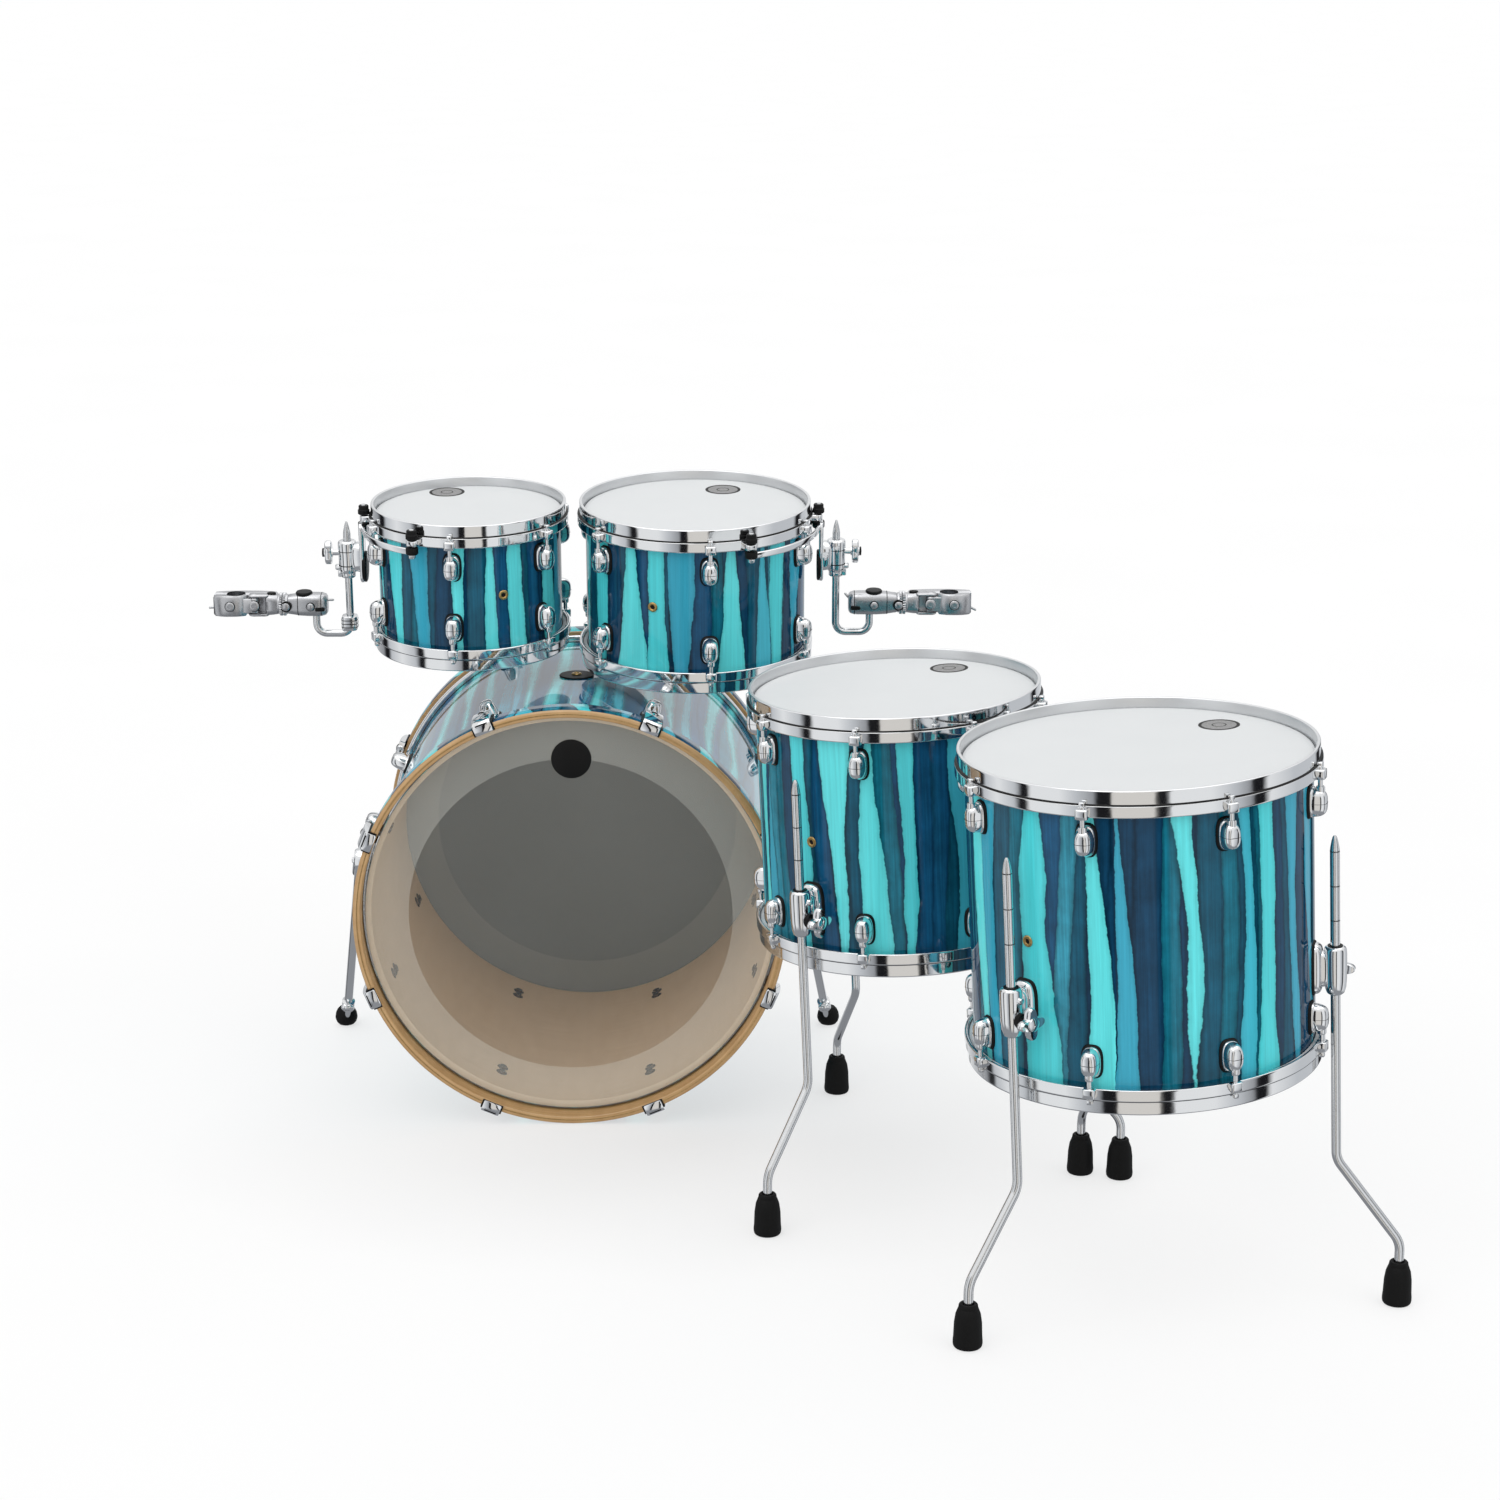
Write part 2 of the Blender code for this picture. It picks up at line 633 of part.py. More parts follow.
def rod_holder(tom, frame, layout):
    """The clamp's inner half: it grips the rod and tilts on the ratchet."""
    name = tom.name + "_rod_holder"
    shape = bmesh.new()
    socket_block(shape, -CLAMP_HALF_HEIGHT, CLAMP_HALF_HEIGHT, -HOLDER_END, RATCHET_REACH / 2.0, CLAMP_HALF_DEPTH,
                 HOLDER_ROD_RADIUS + BORE_CLEARANCE / 2.0)
    place = frame @ Matrix.Translation((CROSSOVER, 0.0, -CLAMP_DEPTH))
    holder = add_object(name, finish_mesh(name, shape), layout, chrome(), place)
    neck = bmesh.new()
    face = RATCHET_REACH - GAP / 2.0
    root = face - RATCHET_THICKNESS
    turn = Matrix.Rotation(math.pi / 2.0, 4, "Y")
    rings = [round_ring(neck, radius, 12, Matrix.Translation((reach, 0.0, 0.0)) @ turn)
             for reach, radius in ((0.40 * RATCHET_REACH, 0.0105), (root, 0.0105), (root, RATCHET_RADIUS),
                                   (face, RATCHET_RADIUS))]
    loft(neck, rings)
    combine(holder, guide("neck_" + name, neck, layout, place))


def clamp_frame(tom, side):
    """Level frame at the ratchet's centre, with +X pointing away from the drum and +Z up."""
    centre = holder_frame(tom, side) @ Vector((CROSSOVER + RATCHET_REACH, 0.0, -CLAMP_DEPTH))
    return Matrix.Translation(centre) @ around(side)


def half_round(steps, radius, centre_x, side):
    """Points of a half circle open towards Y = 0, from its inner to its outer end."""
    angles = [math.pi * (1.0 - step / steps) for step in range(steps + 1)]
    return [(centre_x + radius * math.cos(a), side * (JAW_MOUTH + radius * math.sin(a))) for a in angles]


def extruded(name, outline, low, high):
    """An upright prism over an outline."""
    shape = bmesh.new()
    rings = [[shape.verts.new((x, y, z)) for x, y in outline] for z in (low, high)]
    loft(shape, rings)
    return finish_mesh(name, shape)


def stand_clamp(tom, side, layout):
    """The clamp's outer half with its fixed jaw, and the hinged jaw that closes on a stand's tube."""
    place = clamp_frame(tom, side)
    back = -1.0 if side == 180.0 else 1.0
    name = tom.name + "_stand_clamp"
    notch = half_round(6, STAND_TUBE_RADIUS, STAND_TUBE_REACH, back)
    wall = back * (JAW_MOUTH + STAND_TUBE_RADIUS + 0.0060)
    seat = back * JAW_MOUTH
    root = RATCHET_THICKNESS * 0.5
    body = [(root, seat), *notch, (STAND_ARM, seat), (STAND_ARM, wall * 0.6), (STAND_TUBE_REACH + 0.012, wall),
            (STAND_TUBE_REACH - 0.020, wall), (root, wall * 0.6)]
    clamp = add_object(name, extruded(name, body, -CLAMP_HALF_HEIGHT, CLAMP_HALF_HEIGHT), layout, chrome(), place)
    plate_start = 0.0200
    plate_end = JAW_HINGE_REACH + JAW_EYE
    cheeks = bmesh.new()
    cheek_top = CLAMP_HALF_HEIGHT - 0.0005
    cheek_foot = JAW_HALF_HEIGHT + GAP
    for low, high in ((-cheek_top, -cheek_foot), (cheek_foot, cheek_top)):
        outline = ((plate_start, back * 0.0050), (plate_end, back * 0.0050), (plate_end, -back * 0.0140),
                   (plate_start, -back * 0.0140))
        rings = [[cheeks.verts.new((x, y, z)) for x, y in outline] for z in (low, high)]
        loft(cheeks, rings)
    combine(clamp, guide("cheeks_" + name, cheeks, layout, place))
    pin = bmesh.new()
    hinge_y = -back * JAW_EYE
    pin_end = CLAMP_HALF_HEIGHT - 0.0010
    round_bar(pin, (JAW_HINGE_REACH, hinge_y, -pin_end), (JAW_HINGE_REACH, hinge_y, pin_end),
              JAW_PIN_RADIUS, 6)
    combine(clamp, guide("pin_" + name, pin, layout, place))
    ratchet = bmesh.new()
    turn = Matrix.Rotation(math.pi / 2.0, 4, "Y")
    rings = [round_ring(ratchet, radius, 12, Matrix.Translation((reach, 0.0, 0.0)) @ turn)
             for reach, radius in ((GAP / 2.0, RATCHET_RADIUS), (RATCHET_THICKNESS, RATCHET_RADIUS),
                                   (RATCHET_THICKNESS, 0.0100), (0.0220, 0.0100))]
    loft(ratchet, rings)
    combine(clamp, guide("ratchet_" + name, ratchet, layout, place))
    clamp_jaw(tom, back, place @ Matrix.Translation((JAW_HINGE_REACH, hinge_y, 0.0)), layout)


def clamp_jaw(tom, back, place, layout):
    """The hinged jaw, built about its pin."""
    name = tom.name + "_clamp_jaw"
    eye = bmesh.new()
    socket_block(eye, -JAW_HALF_HEIGHT, JAW_HALF_HEIGHT, -JAW_EYE + 0.0015, JAW_EYE - 0.0005, JAW_EYE - 0.0020,
                 JAW_PIN_RADIUS + BORE_CLEARANCE / 2.0)
    jaw = add_object(name, finish_mesh(name, eye), layout, chrome(), place)
    reach = STAND_TUBE_REACH - JAW_HINGE_REACH
    shift = back * JAW_EYE
    notch = [(x, y + shift) for x, y in half_round(6, STAND_TUBE_RADIUS, reach, -back)]
    end = STAND_ARM - JAW_HINGE_REACH - 0.0020
    seat = shift - back * JAW_MOUTH
    wall = shift - back * (JAW_MOUTH + STAND_TUBE_RADIUS + 0.0050)
    start = JAW_EYE - 0.0015
    outline = [(start, seat), *notch, (end, seat), (end, wall * 0.5), (reach + 0.012, wall), (reach - 0.012, wall),
               (start, shift - back * 0.0120)]
    arm = bmesh.new()
    face = JAW_HALF_HEIGHT - 0.0005
    rings = [[arm.verts.new((x, y, z)) for x, y in outline] for z in (-face, face)]
    loft(arm, rings)
    combine(jaw, guide("arm_" + name, arm, layout, place))


def rack_tom(tom, side, layout):
    """A rack tom with its suspension mount, rod, lock and stand clamp."""
    ears = [side + spread for spread in (-BAR_SPREAD, 0.0, BAR_SPREAD)]
    parent = drum_body(tom, layout, ears)
    tom_mount(tom, side, parent)
    frame = holder_frame(tom, side)
    tom_rod(tom, frame, layout)
    rod_lock(tom, frame, layout)
    rod_holder(tom, frame, layout)
    stand_clamp(tom, side, layout)


# Bass drum

def bass_hoop(name, end, parent):
    """A wooden hoop with its eight claws, tension rods and lugs."""
    front = BASS_HOOP_OVERHANG
    rear = BASS_HOOP_OVERHANG - BASS_HOOP_WIDTH
    profile = (
        (BASS_HOOP_INNER, front),
        (BASS_HOOP_OUTER - BASS_HOOP_CHAMFER, front),
        (BASS_HOOP_OUTER, front - BASS_HOOP_CHAMFER),
        (BASS_HOOP_OUTER, rear),
        (BASS_HOOP_INNER, rear),
    )
    phase = math.radians(-90.0) + math.pi / BASS_SEGMENTS
    hoop = add_object(name, turned(name, profile, BASS_SEGMENTS, phase=phase), parent, maple(), end)
    rod = BASS_RADIUS + BASS_ROD_STANDOFF
    bar = (rod - ROD_RADIUS, rod + ROD_RADIUS, ROD_RADIUS)
    foot = BASS_RADIUS + 0.0004
    top = BASS_HOOP_OUTER + CLAW_PLATE
    bite = BASS_HOOP_OUTER - CLAW_BITE
    tail = rear + CLAW_OVERRUN
    boss_end = rear - CLAW_OVERRUN
    lug_end = (foot, foot + 0.75 * BASS_LUG_PROJECTION, 0.6 * BASS_LUG_HALF_WIDTH)
    sections = (
        (front + CLAW_LIP, BASS_HOOP_OUTER - CLAW_REACH, top - 0.0015, CLAW_HALF_WIDTH - 0.0010),
        (front - 0.0004, BASS_HOOP_OUTER - CLAW_REACH, top, CLAW_HALF_WIDTH),
        (front - BASS_HOOP_CHAMFER, bite, top, CLAW_HALF_WIDTH),
        (tail, bite, top, CLAW_HALF_WIDTH),
        (boss_end, rod - 0.0042, rod + 0.0042, 0.0055),
        (boss_end, *bar),
        (BASS_LUG_HEIGHT / 2.0 - BASS_LUG_DEPTH, *bar),
        (BASS_LUG_HEIGHT / 2.0 - BASS_LUG_DEPTH, *lug_end),
        (-BASS_LUG_DEPTH, foot, foot + BASS_LUG_PROJECTION, BASS_LUG_HALF_WIDTH),
        (-BASS_LUG_HEIGHT / 2.0 - BASS_LUG_DEPTH, *lug_end),
    )
    hardware = bmesh.new()
    for index in range(BASS_LUGS):
        stack(hardware, sections, around(BASS_LUG_ANGLE + 360.0 * index / BASS_LUGS))
    combine(hoop, guide("hardware_" + name, hardware, parent, end))


def spur(side, word, parent, layout):
    """One folding spur: a bracket on the shell, and a leg with its rubber foot that pivots on it."""
    name = "bass_spur_bracket_" + word
    face = BASS_RADIUS + SPUR_BRACKET_DEPTH
    centre = Vector((0.0, SPUR_RISE, BASS_DEPTH - SPUR_FROM_FRONT))
    block = bmesh.new()
    half = SPUR_BRACKET_HALF
    rings = [[block.verts.new((side * reach, centre.y + y, centre.z + z)) for y, z in corners]
             for reach, corners in ((BASS_RADIUS - 0.0150, ((-half, -half), (half, -half), (half, half), (-half, half))),
                                    (face, ((-0.8 * half, -0.8 * half), (0.8 * half, -0.8 * half),
                                            (0.8 * half, 0.8 * half), (-0.8 * half, 0.8 * half))))]
    loft(block, rings)
    bracket = add_object(name, finish_mesh(name, block), parent, chrome())
    cut = ((BASS_RADIUS + GAP, 0.0), (BASS_RADIUS + GAP, BASS_DEPTH))
    phase = math.radians(-90.0) + math.pi / BASS_SEGMENTS
    saddle_shape = turned("saddle", cut, BASS_SEGMENTS, closed=False, phase=phase)
    tool = add_object("guide_saddle_" + name, saddle_shape, parent)
    combine(bracket, tool, "DIFFERENCE")

    pivot = BASS_FRAME @ (centre + Vector((side * (face + GAP + SPUR_KNUCKLE_WIDTH / 2.0), 0.0, 0.0)))
    reach = Vector((side * SPUR_FOOT_OUT - pivot.x, SPUR_FOOT_BACK, -pivot.z))
    name = "bass_spur_leg_" + word
    foot_top = SPUR_FOOT_PROFILE[-1][1]
    place = Matrix.Translation(pivot)
    bar = bmesh.new()
    inner_end = -side * 0.0010
    round_bar(bar, (inner_end, 0.0, 0.0), reach + Vector((0.0, 0.0, foot_top * 0.5)), SPUR_ROD_RADIUS, 8)
    leg = add_object(name, finish_mesh(name, bar), layout, chrome(), place)
    knuckle = bmesh.new()
    half_width = SPUR_KNUCKLE_WIDTH / 2.0
    round_bar(knuckle, (-half_width, 0.0, 0.0), (half_width, 0.0, 0.0), SPUR_KNUCKLE_RADIUS, 12)
    combine(leg, guide("knuckle_" + name, knuckle, layout, place))
    ball = turned("guide_ball_" + name, SPUR_FOOT_PROFILE, 12, closed=False)
    combine(leg, add_object("guide_ball_" + name, ball, layout, None, Matrix.Translation(pivot + reach)))


def bass_drum(layout):
    """Bass drum: shell, two heads, two wooden hoops with claws, and two spurs."""
    parent = frame_empty("frame_bass", BASS_FRAME, layout)
    phase = math.radians(-90.0) + math.pi / BASS_SEGMENTS
    wall = BASS_SHELL_WALL
    profile = ((BASS_RADIUS, 0.0), (BASS_RADIUS, BASS_DEPTH), (BASS_RADIUS - wall, BASS_DEPTH - wall / 2.0),
               (BASS_RADIUS - wall, wall / 2.0))
    add_object("bass_shell", turned("bass_shell", profile, BASS_SEGMENTS, phase=phase), parent, lacquer())
    front = Matrix.Translation((0.0, 0.0, BASS_DEPTH))
    rear = Matrix.Rotation(math.pi, 4, "Y")
    collar = BASS_HOOP_WIDTH - BASS_HOOP_OVERHANG + GAP
    for name, end, look in (("bass_front_head", front, smoked_film()), ("bass_rear_head", rear, smoked_film())):
        inner = BASS_RADIUS + COLLAR_CLEARANCE
        outer = inner + COLLAR_WALL
        width = BASS_FLESH_HOOP_WIDTH
        low = -collar - BASS_FLESH_HOOP_HEIGHT
        cover = ((outer, GAP + FILM), (outer, -collar), (inner + width, -collar), (inner + width, low),
                 (inner, low), (inner, GAP))
        add_object(name, turned(name, cover, BASS_SEGMENTS, closed=False, phase=phase), parent, look, end)
    bass_hoop("bass_front_hoop", front, parent)
    bass_hoop("bass_rear_hoop", rear, parent)
    for side, word in ((-1.0, "left"), (1.0, "right")):
        spur(side, word, parent, layout)


def centre_layout(layout):
    """Move the layout so that the pack's bounding box is centred over the origin."""
    bpy.context.view_layer.update()
    spots = []
    for item in bpy.context.scene.objects:
        if item.type in {"MESH", "CURVE"} and not item.hide_render:
            spots += [item.matrix_world @ Vector(corner) for corner in item.bound_box]
    for axis in (0, 1):
        values = [spot[axis] for spot in spots]
        layout.location[axis] -= (min(values) + max(values)) / 2.0


def main():
    """Build the whole pack."""
    for item in list(bpy.data.objects):
        bpy.data.objects.remove(item, do_unlink=True)
    layout = frame_empty("layout", Matrix.Identity(4))
    bass_drum(layout)
    for tom, side in RACK_TOMS:
        rack_tom(tom, side, layout)
    for tom, leg_angles, bracket_height in FLOOR_TOMS:
        floor_tom(tom, leg_angles, bracket_height, layout)
    centre_layout(layout)


main()
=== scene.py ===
"""Looks of the five-drum shell pack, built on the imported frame.

Every drum is worked out in its own frame, whose origin is the centre of the lower shell
edge and whose +Z is the drum's axis. The bass drum's frame lies down, with +Z towards the
audience. Shapes are functions of two parameters, worked out with numpy as whole arrays.
"""

from __future__ import annotations

import logging
import math
from collections.abc import Sequence
from dataclasses import dataclass, field
from enum import Enum

import bmesh
import bpy
import numpy as np
from mathutils import Matrix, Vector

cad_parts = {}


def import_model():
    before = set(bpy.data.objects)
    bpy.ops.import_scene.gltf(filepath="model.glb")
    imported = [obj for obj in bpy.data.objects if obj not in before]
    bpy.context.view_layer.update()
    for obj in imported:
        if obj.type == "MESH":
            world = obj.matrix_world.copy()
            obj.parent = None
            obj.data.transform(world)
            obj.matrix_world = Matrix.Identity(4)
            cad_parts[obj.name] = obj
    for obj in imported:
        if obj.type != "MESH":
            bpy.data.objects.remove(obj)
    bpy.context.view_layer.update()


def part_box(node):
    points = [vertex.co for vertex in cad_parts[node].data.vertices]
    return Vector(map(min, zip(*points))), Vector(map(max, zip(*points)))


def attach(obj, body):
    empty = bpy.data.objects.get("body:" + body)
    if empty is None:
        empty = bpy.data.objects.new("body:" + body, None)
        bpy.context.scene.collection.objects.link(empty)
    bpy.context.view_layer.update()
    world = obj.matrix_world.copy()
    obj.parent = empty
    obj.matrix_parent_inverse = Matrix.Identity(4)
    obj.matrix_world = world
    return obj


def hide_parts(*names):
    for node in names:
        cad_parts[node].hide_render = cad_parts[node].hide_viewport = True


LOG = logging.getLogger("shell_pack")

INCH = 0.0254
MM = 0.001
TAU = 2.0 * math.pi
WELD_DISTANCE = 0.01 * MM
SHELL_STEPS = 160
HOOP_STEPS = 128
WHITE = (1.0, 1.0, 1.0, 1.0)
OFF_AXIS = (0.3, 0.7, 0.648)
Array = np.ndarray
Socket = bpy.types.NodeSocket
Pair = tuple[float, float]
Table = list[Pair]
Point = tuple[float, float, float]
Colour = tuple[float, float, float]


class Axis(Enum):
    """Unit axes of a piece's own frame."""

    X = (1.0, 0.0, 0.0)
    Y = (0.0, 1.0, 0.0)
    Z = (0.0, 0.0, 1.0)


class End(Enum):
    """Ends of a drum."""

    TOP = 1
    BOTTOM = -1


# Matrices

def identity() -> Array:
    """Return the 4x4 identity."""
    return np.eye(4)


def moved(x: float, y: float, z: float) -> Array:
    """Return the 4x4 matrix of a move in metres."""
    matrix = np.eye(4)
    matrix[:3, 3] = (x, y, z)
    return matrix


def moved_mm(x: float, y: float, z: float) -> Array:
    """Return the 4x4 matrix of a move in millimetres."""
    return moved(x * MM, y * MM, z * MM)


def turned(degrees: float, axis: Axis) -> Array:
    """Return the 4x4 matrix of a right-handed turn about an axis, in degrees."""
    return np.array(Matrix.Rotation(math.radians(degrees), 4, axis.value))


def aimed(start: Array, end: Array) -> Array:
    """Return the matrix that puts +Z on the line from start to end, with its origin at start."""
    along = np.asarray(end, float) - np.asarray(start, float)
    along = along / np.linalg.norm(along)
    helper = np.array((0.0, 0.0, 1.0)) if abs(along[2]) < 0.9 else np.array((1.0, 0.0, 0.0))
    side = np.cross(helper, along)
    side /= np.linalg.norm(side)
    matrix = np.eye(4)
    matrix[:3, 0] = side
    matrix[:3, 1] = np.cross(along, side)
    matrix[:3, 2] = along
    matrix[:3, 3] = start
    return matrix


def applied(matrix: Array, points: Array) -> Array:
    """Return points moved by a 4x4 matrix."""
    return points @ matrix[:3, :3].T + matrix[:3, 3]


def rounded_route(points: list[Point], radius: float, steps: int = 8) -> Array:
    """Return a route whose inner corners are arcs.

    The centre of each arc lies on the bisector of its corner, at radius / cos(bend / 2).

    Args:
        points: corners of the route.
        radius: bend radius.
        steps: divisions of each arc.

    Returns:
        Points of the rounded route.
    """
    corners = [np.array(point, float) for point in points]
    route = [corners[0]]
    for before, corner, after in zip(corners, corners[1:], corners[2:]):
        arriving = (corner - before) / np.linalg.norm(corner - before)
        leaving = (after - corner) / np.linalg.norm(after - corner)
        bend = math.acos(float(np.clip(arriving @ leaving, -1.0, 1.0)))
        inward = (leaving - arriving) / np.linalg.norm(leaving - arriving)
        middle = corner + inward * radius / math.cos(bend / 2.0)
        first = corner - arriving * radius * math.tan(bend / 2.0) - middle
        angles = np.linspace(0.0, bend, steps + 1)[:, None]
        route.extend(middle + np.cos(angles) * first + np.sin(angles) * arriving * radius)
    route.append(corners[-1])
    return np.array(route)


# Surfaces

@dataclass
class Surface:
    """A mesh under construction: grids of points, with a material index and UV for each."""

    points: list[Array] = field(default_factory=list)
    faces: list[tuple[int, ...]] = field(default_factory=list)
    slots: list[int] = field(default_factory=list)
    uvs: list[tuple[Pair, ...]] = field(default_factory=list)
    count: int = 0

    def _take(self, block: Array) -> int:
        """Store a block of vertices and return the index of its first."""
        first = self.count
        self.points.append(block.reshape(-1, 3))
        self.count += block.size // 3
        return first

    def grid(self, block: Array, wrap: bool = True, wrap_across: bool = False, caps: bool = False,
             slot: int = 0, uv: Array | None = None) -> None:
        """Add a grid of points whose quads join neighbours along both of its directions.

        Args:
            block: (rows, columns, 3) points; columns run around.
            wrap: the last column joins the first.
            wrap_across: the last row joins the first.
            caps: the first and last rows are closed by fans.
            slot: material index.
            uv: (rows, columns + 1, 2) texture coordinates, or None.
        """
        rows, columns = block.shape[:2]
        first = self._take(block)
        row_pairs = rows if wrap_across else rows - 1
        column_pairs = columns if wrap else columns - 1
        i, j = np.meshgrid(np.arange(row_pairs), np.arange(column_pairs), indexing="ij")
        i, j = i.ravel(), j.ravel()
        down, right = (i + 1) % rows, (j + 1) % columns
        quads = first + np.stack((i * columns + j, i * columns + right, down * columns + right, down * columns + j), 1)
        self.faces.extend(map(tuple, quads.tolist()))
        self.slots.extend([slot] * len(quads))
        if uv is None:
            self.uvs.extend([((0.0, 0.0),) * 4] * len(quads))
        else:
            corners = np.stack((uv[i, j], uv[i, j + 1], uv[down, j + 1], uv[down, j]), 1)
            self.uvs.extend(tuple(map(tuple, corner)) for corner in corners.tolist())
        if caps:
            self.fan(first, columns, block[0].mean(axis=0), slot)
            self.fan(first + (rows - 1) * columns, columns, block[-1].mean(axis=0), slot)

    def fan(self, first: int, columns: int, centre: Array, slot: int) -> None:
        """Close a ring of vertices with triangles to its centre."""
        hub = self._take(centre)
        ring = np.arange(columns)
        triangles = np.stack((first + ring, first + (ring + 1) % columns, np.full(columns, hub)), 1)
        self.faces.extend(map(tuple, triangles.tolist()))
        self.slots.extend([slot] * columns)
        self.uvs.extend([((0.0, 0.0),) * 3] * columns)

    def piece(self, name: str, *materials: bpy.types.Material, sharp: float = 40.0) -> bpy.types.Object:
        """Make the object, with its place in its mesh and its faces pointing out.

        Args:
            name: object name.
            materials: materials in slot order.
            sharp: angle in degrees above which an edge stays sharp.

        Returns:
            The new object, at the origin.
        """
        data = bpy.data.meshes.new(name)
        data.from_pydata(np.concatenate(self.points).tolist(), [], self.faces)
        for finish in materials:
            data.materials.append(finish)
        data.polygons.foreach_set("material_index", np.array(self.slots, dtype=np.int32))
        layer = data.uv_layers.new(name="UVMap")
        layer.data.foreach_set("uv", np.array([c for face in self.uvs for c in face], dtype=np.float32).ravel())
        face_out(data)
        data.shade_smooth()
        data.set_sharp_from_angle(angle=math.radians(sharp))
        return linked(name, data)


def linked(name: str, data: bpy.types.ID) -> bpy.types.Object:
    """Return a new object of the data, in the scene."""
    made = bpy.data.objects.new(name, data)
    bpy.context.scene.collection.objects.link(made)
    return made


def face_out(data: bpy.types.Mesh, weld: float = 0.0) -> None:
    """Turn a mesh's faces outwards, and first join vertices that are closer than weld."""
    work = bmesh.new()
    work.from_mesh(data)
    if weld:
        bmesh.ops.remove_doubles(work, verts=work.verts, dist=weld)
    bmesh.ops.recalc_face_normals(work, faces=work.faces)
    work.to_mesh(data)
    work.free()


def welded(piece: bpy.types.Object) -> bpy.types.Object:
    """Join a piece's doubled vertices and return it."""
    face_out(piece.data, WELD_DISTANCE)
    return piece


def steps_round(count: int) -> Array:
    """Return evenly spaced angles of a full turn, without its end."""
    return TAU * np.arange(count) / count


def turned_rows(radius: Array, height: Array, angles: Array) -> Array:
    """Return the grid (r cos t, r sin t, h): a row for each profile point, a column for each angle."""
    return np.stack((radius[:, None] * np.cos(angles), radius[:, None] * np.sin(angles),
                     np.repeat(height[:, None], len(angles), 1)), -1)


def uv_rows(across: Array, along: Array) -> Array:
    """Return the UV grid whose U follows the columns and whose V follows the rows."""
    return np.stack(np.broadcast_arrays(across[None, :], along[:, None]), -1)


def superellipse(exponent: float, sides: int) -> tuple[Array, Array]:
    """Return both coordinates of the outline |y|^n + |z|^n = 1."""
    angles = steps_round(sides)
    cosine, sine = np.cos(angles), np.sin(angles)
    return np.sign(cosine) * np.abs(cosine) ** (2.0 / exponent), np.sign(sine) * np.abs(sine) ** (2.0 / exponent)


def revolve(surface: Surface, profile: Array, place: Array, segments: int, closed: bool = False, slot: int = 0,
            start: float = 0.0, sweep: float = 360.0) -> None:
    """Add a turned shape: each profile point (radius, height) travels round +Z.

    Args:
        surface: surface to add to.
        profile: (n, 2) radii and heights.
        place: frame of the shape.
        segments: divisions of the turn.
        closed: the profile is a loop, as on a ring.
        slot: material index.
        start: first angle in degrees.
        sweep: angle swept in degrees; under 360 the two ends are closed by fans.
    """
    full = sweep >= 360.0
    angles = np.radians(start + sweep * np.arange(segments + (0 if full else 1)) / segments)
    radius, height = profile.T
    block = turned_rows(radius, height, angles)
    if full:
        surface.grid(applied(place, block), wrap_across=closed, caps=not closed, slot=slot)
    else:
        surface.grid(applied(place, block.swapaxes(0, 1)), caps=True, slot=slot)


def turn_mm(surface: Surface, table: Table, place: Array, segments: int = 22, closed: bool = False,
            slot: int = 0) -> None:
    """Add a turned shape whose table of radii and heights is in millimetres."""
    revolve(surface, np.array(table) * MM, place, segments, closed, slot)


def ring_mm(surface: Surface, radii: Pair, heights: Pair, place: Array, segments: int, slot: int = 0) -> None:
    """Add a ring with a square section, between two radii and two heights in millimetres."""
    (inner, outer), (low, high) = radii, heights
    turn_mm(surface, [(inner, low), (outer, low), (outer, high), (inner, high)], place, segments, True, slot)


def strip(surface: Surface, profile: Array, place: Array, segments: int, slot: int) -> None:
    """Add a turned strip with no end caps, except that a point on the axis is closed by a fan.

    A flat disc about the axis is built of rings, so that its shading stays even.
    """
    angles = steps_round(segments)
    for (radius, height), (next_radius, next_height) in zip(profile, profile[1:]):
        if min(radius, next_radius) > 0.0:
            block = turned_rows(np.array((radius, next_radius)), np.array((height, next_height)), angles)
            surface.grid(applied(place, block), slot=slot)
            continue
        rings = np.linspace(0.04, 1.0, 14) * max(radius, next_radius)
        first = surface.count
        surface.grid(applied(place, turned_rows(rings, np.full(len(rings), height), angles)), slot=slot)
        surface.fan(first, segments, applied(place, np.array((0.0, 0.0, height))), slot)


def lathe_bar(surface: Surface, start: Array, end: Array, stations: Table, segments: int = 20, slot: int = 0) -> None:
    """Add a turned bar from start to end; stations are (distance, radius) along it, in millimetres."""
    turn_mm(surface, [(radius, distance) for distance, radius in stations], aimed(start, end), segments, slot=slot)


def tube(surface: Surface, route: Array, radii: Array, sides: int) -> None:
    """Add a round bar along a route, with a ring square to the route at each point.

    The ring's first direction is carried along the route and made square to it again at each
    point, so that the bar doesn't twist.
    """
    tangent = np.gradient(route, axis=0)
    tangent /= np.linalg.norm(tangent, axis=1)[:, None]
    across = np.empty_like(tangent)
    side = np.cross(tangent[0], OFF_AXIS)
    for index, direction in enumerate(tangent):
        side = side - direction * (side @ direction)
        side /= np.linalg.norm(side)
        across[index] = side
    up = np.cross(tangent, across)
    angles = steps_round(sides)
    block = (route[:, None] + radii[:, None, None] * (np.cos(angles)[None, :, None] * across[:, None]
                                                     + np.sin(angles)[None, :, None] * up[:, None]))
    surface.grid(block, caps=True)


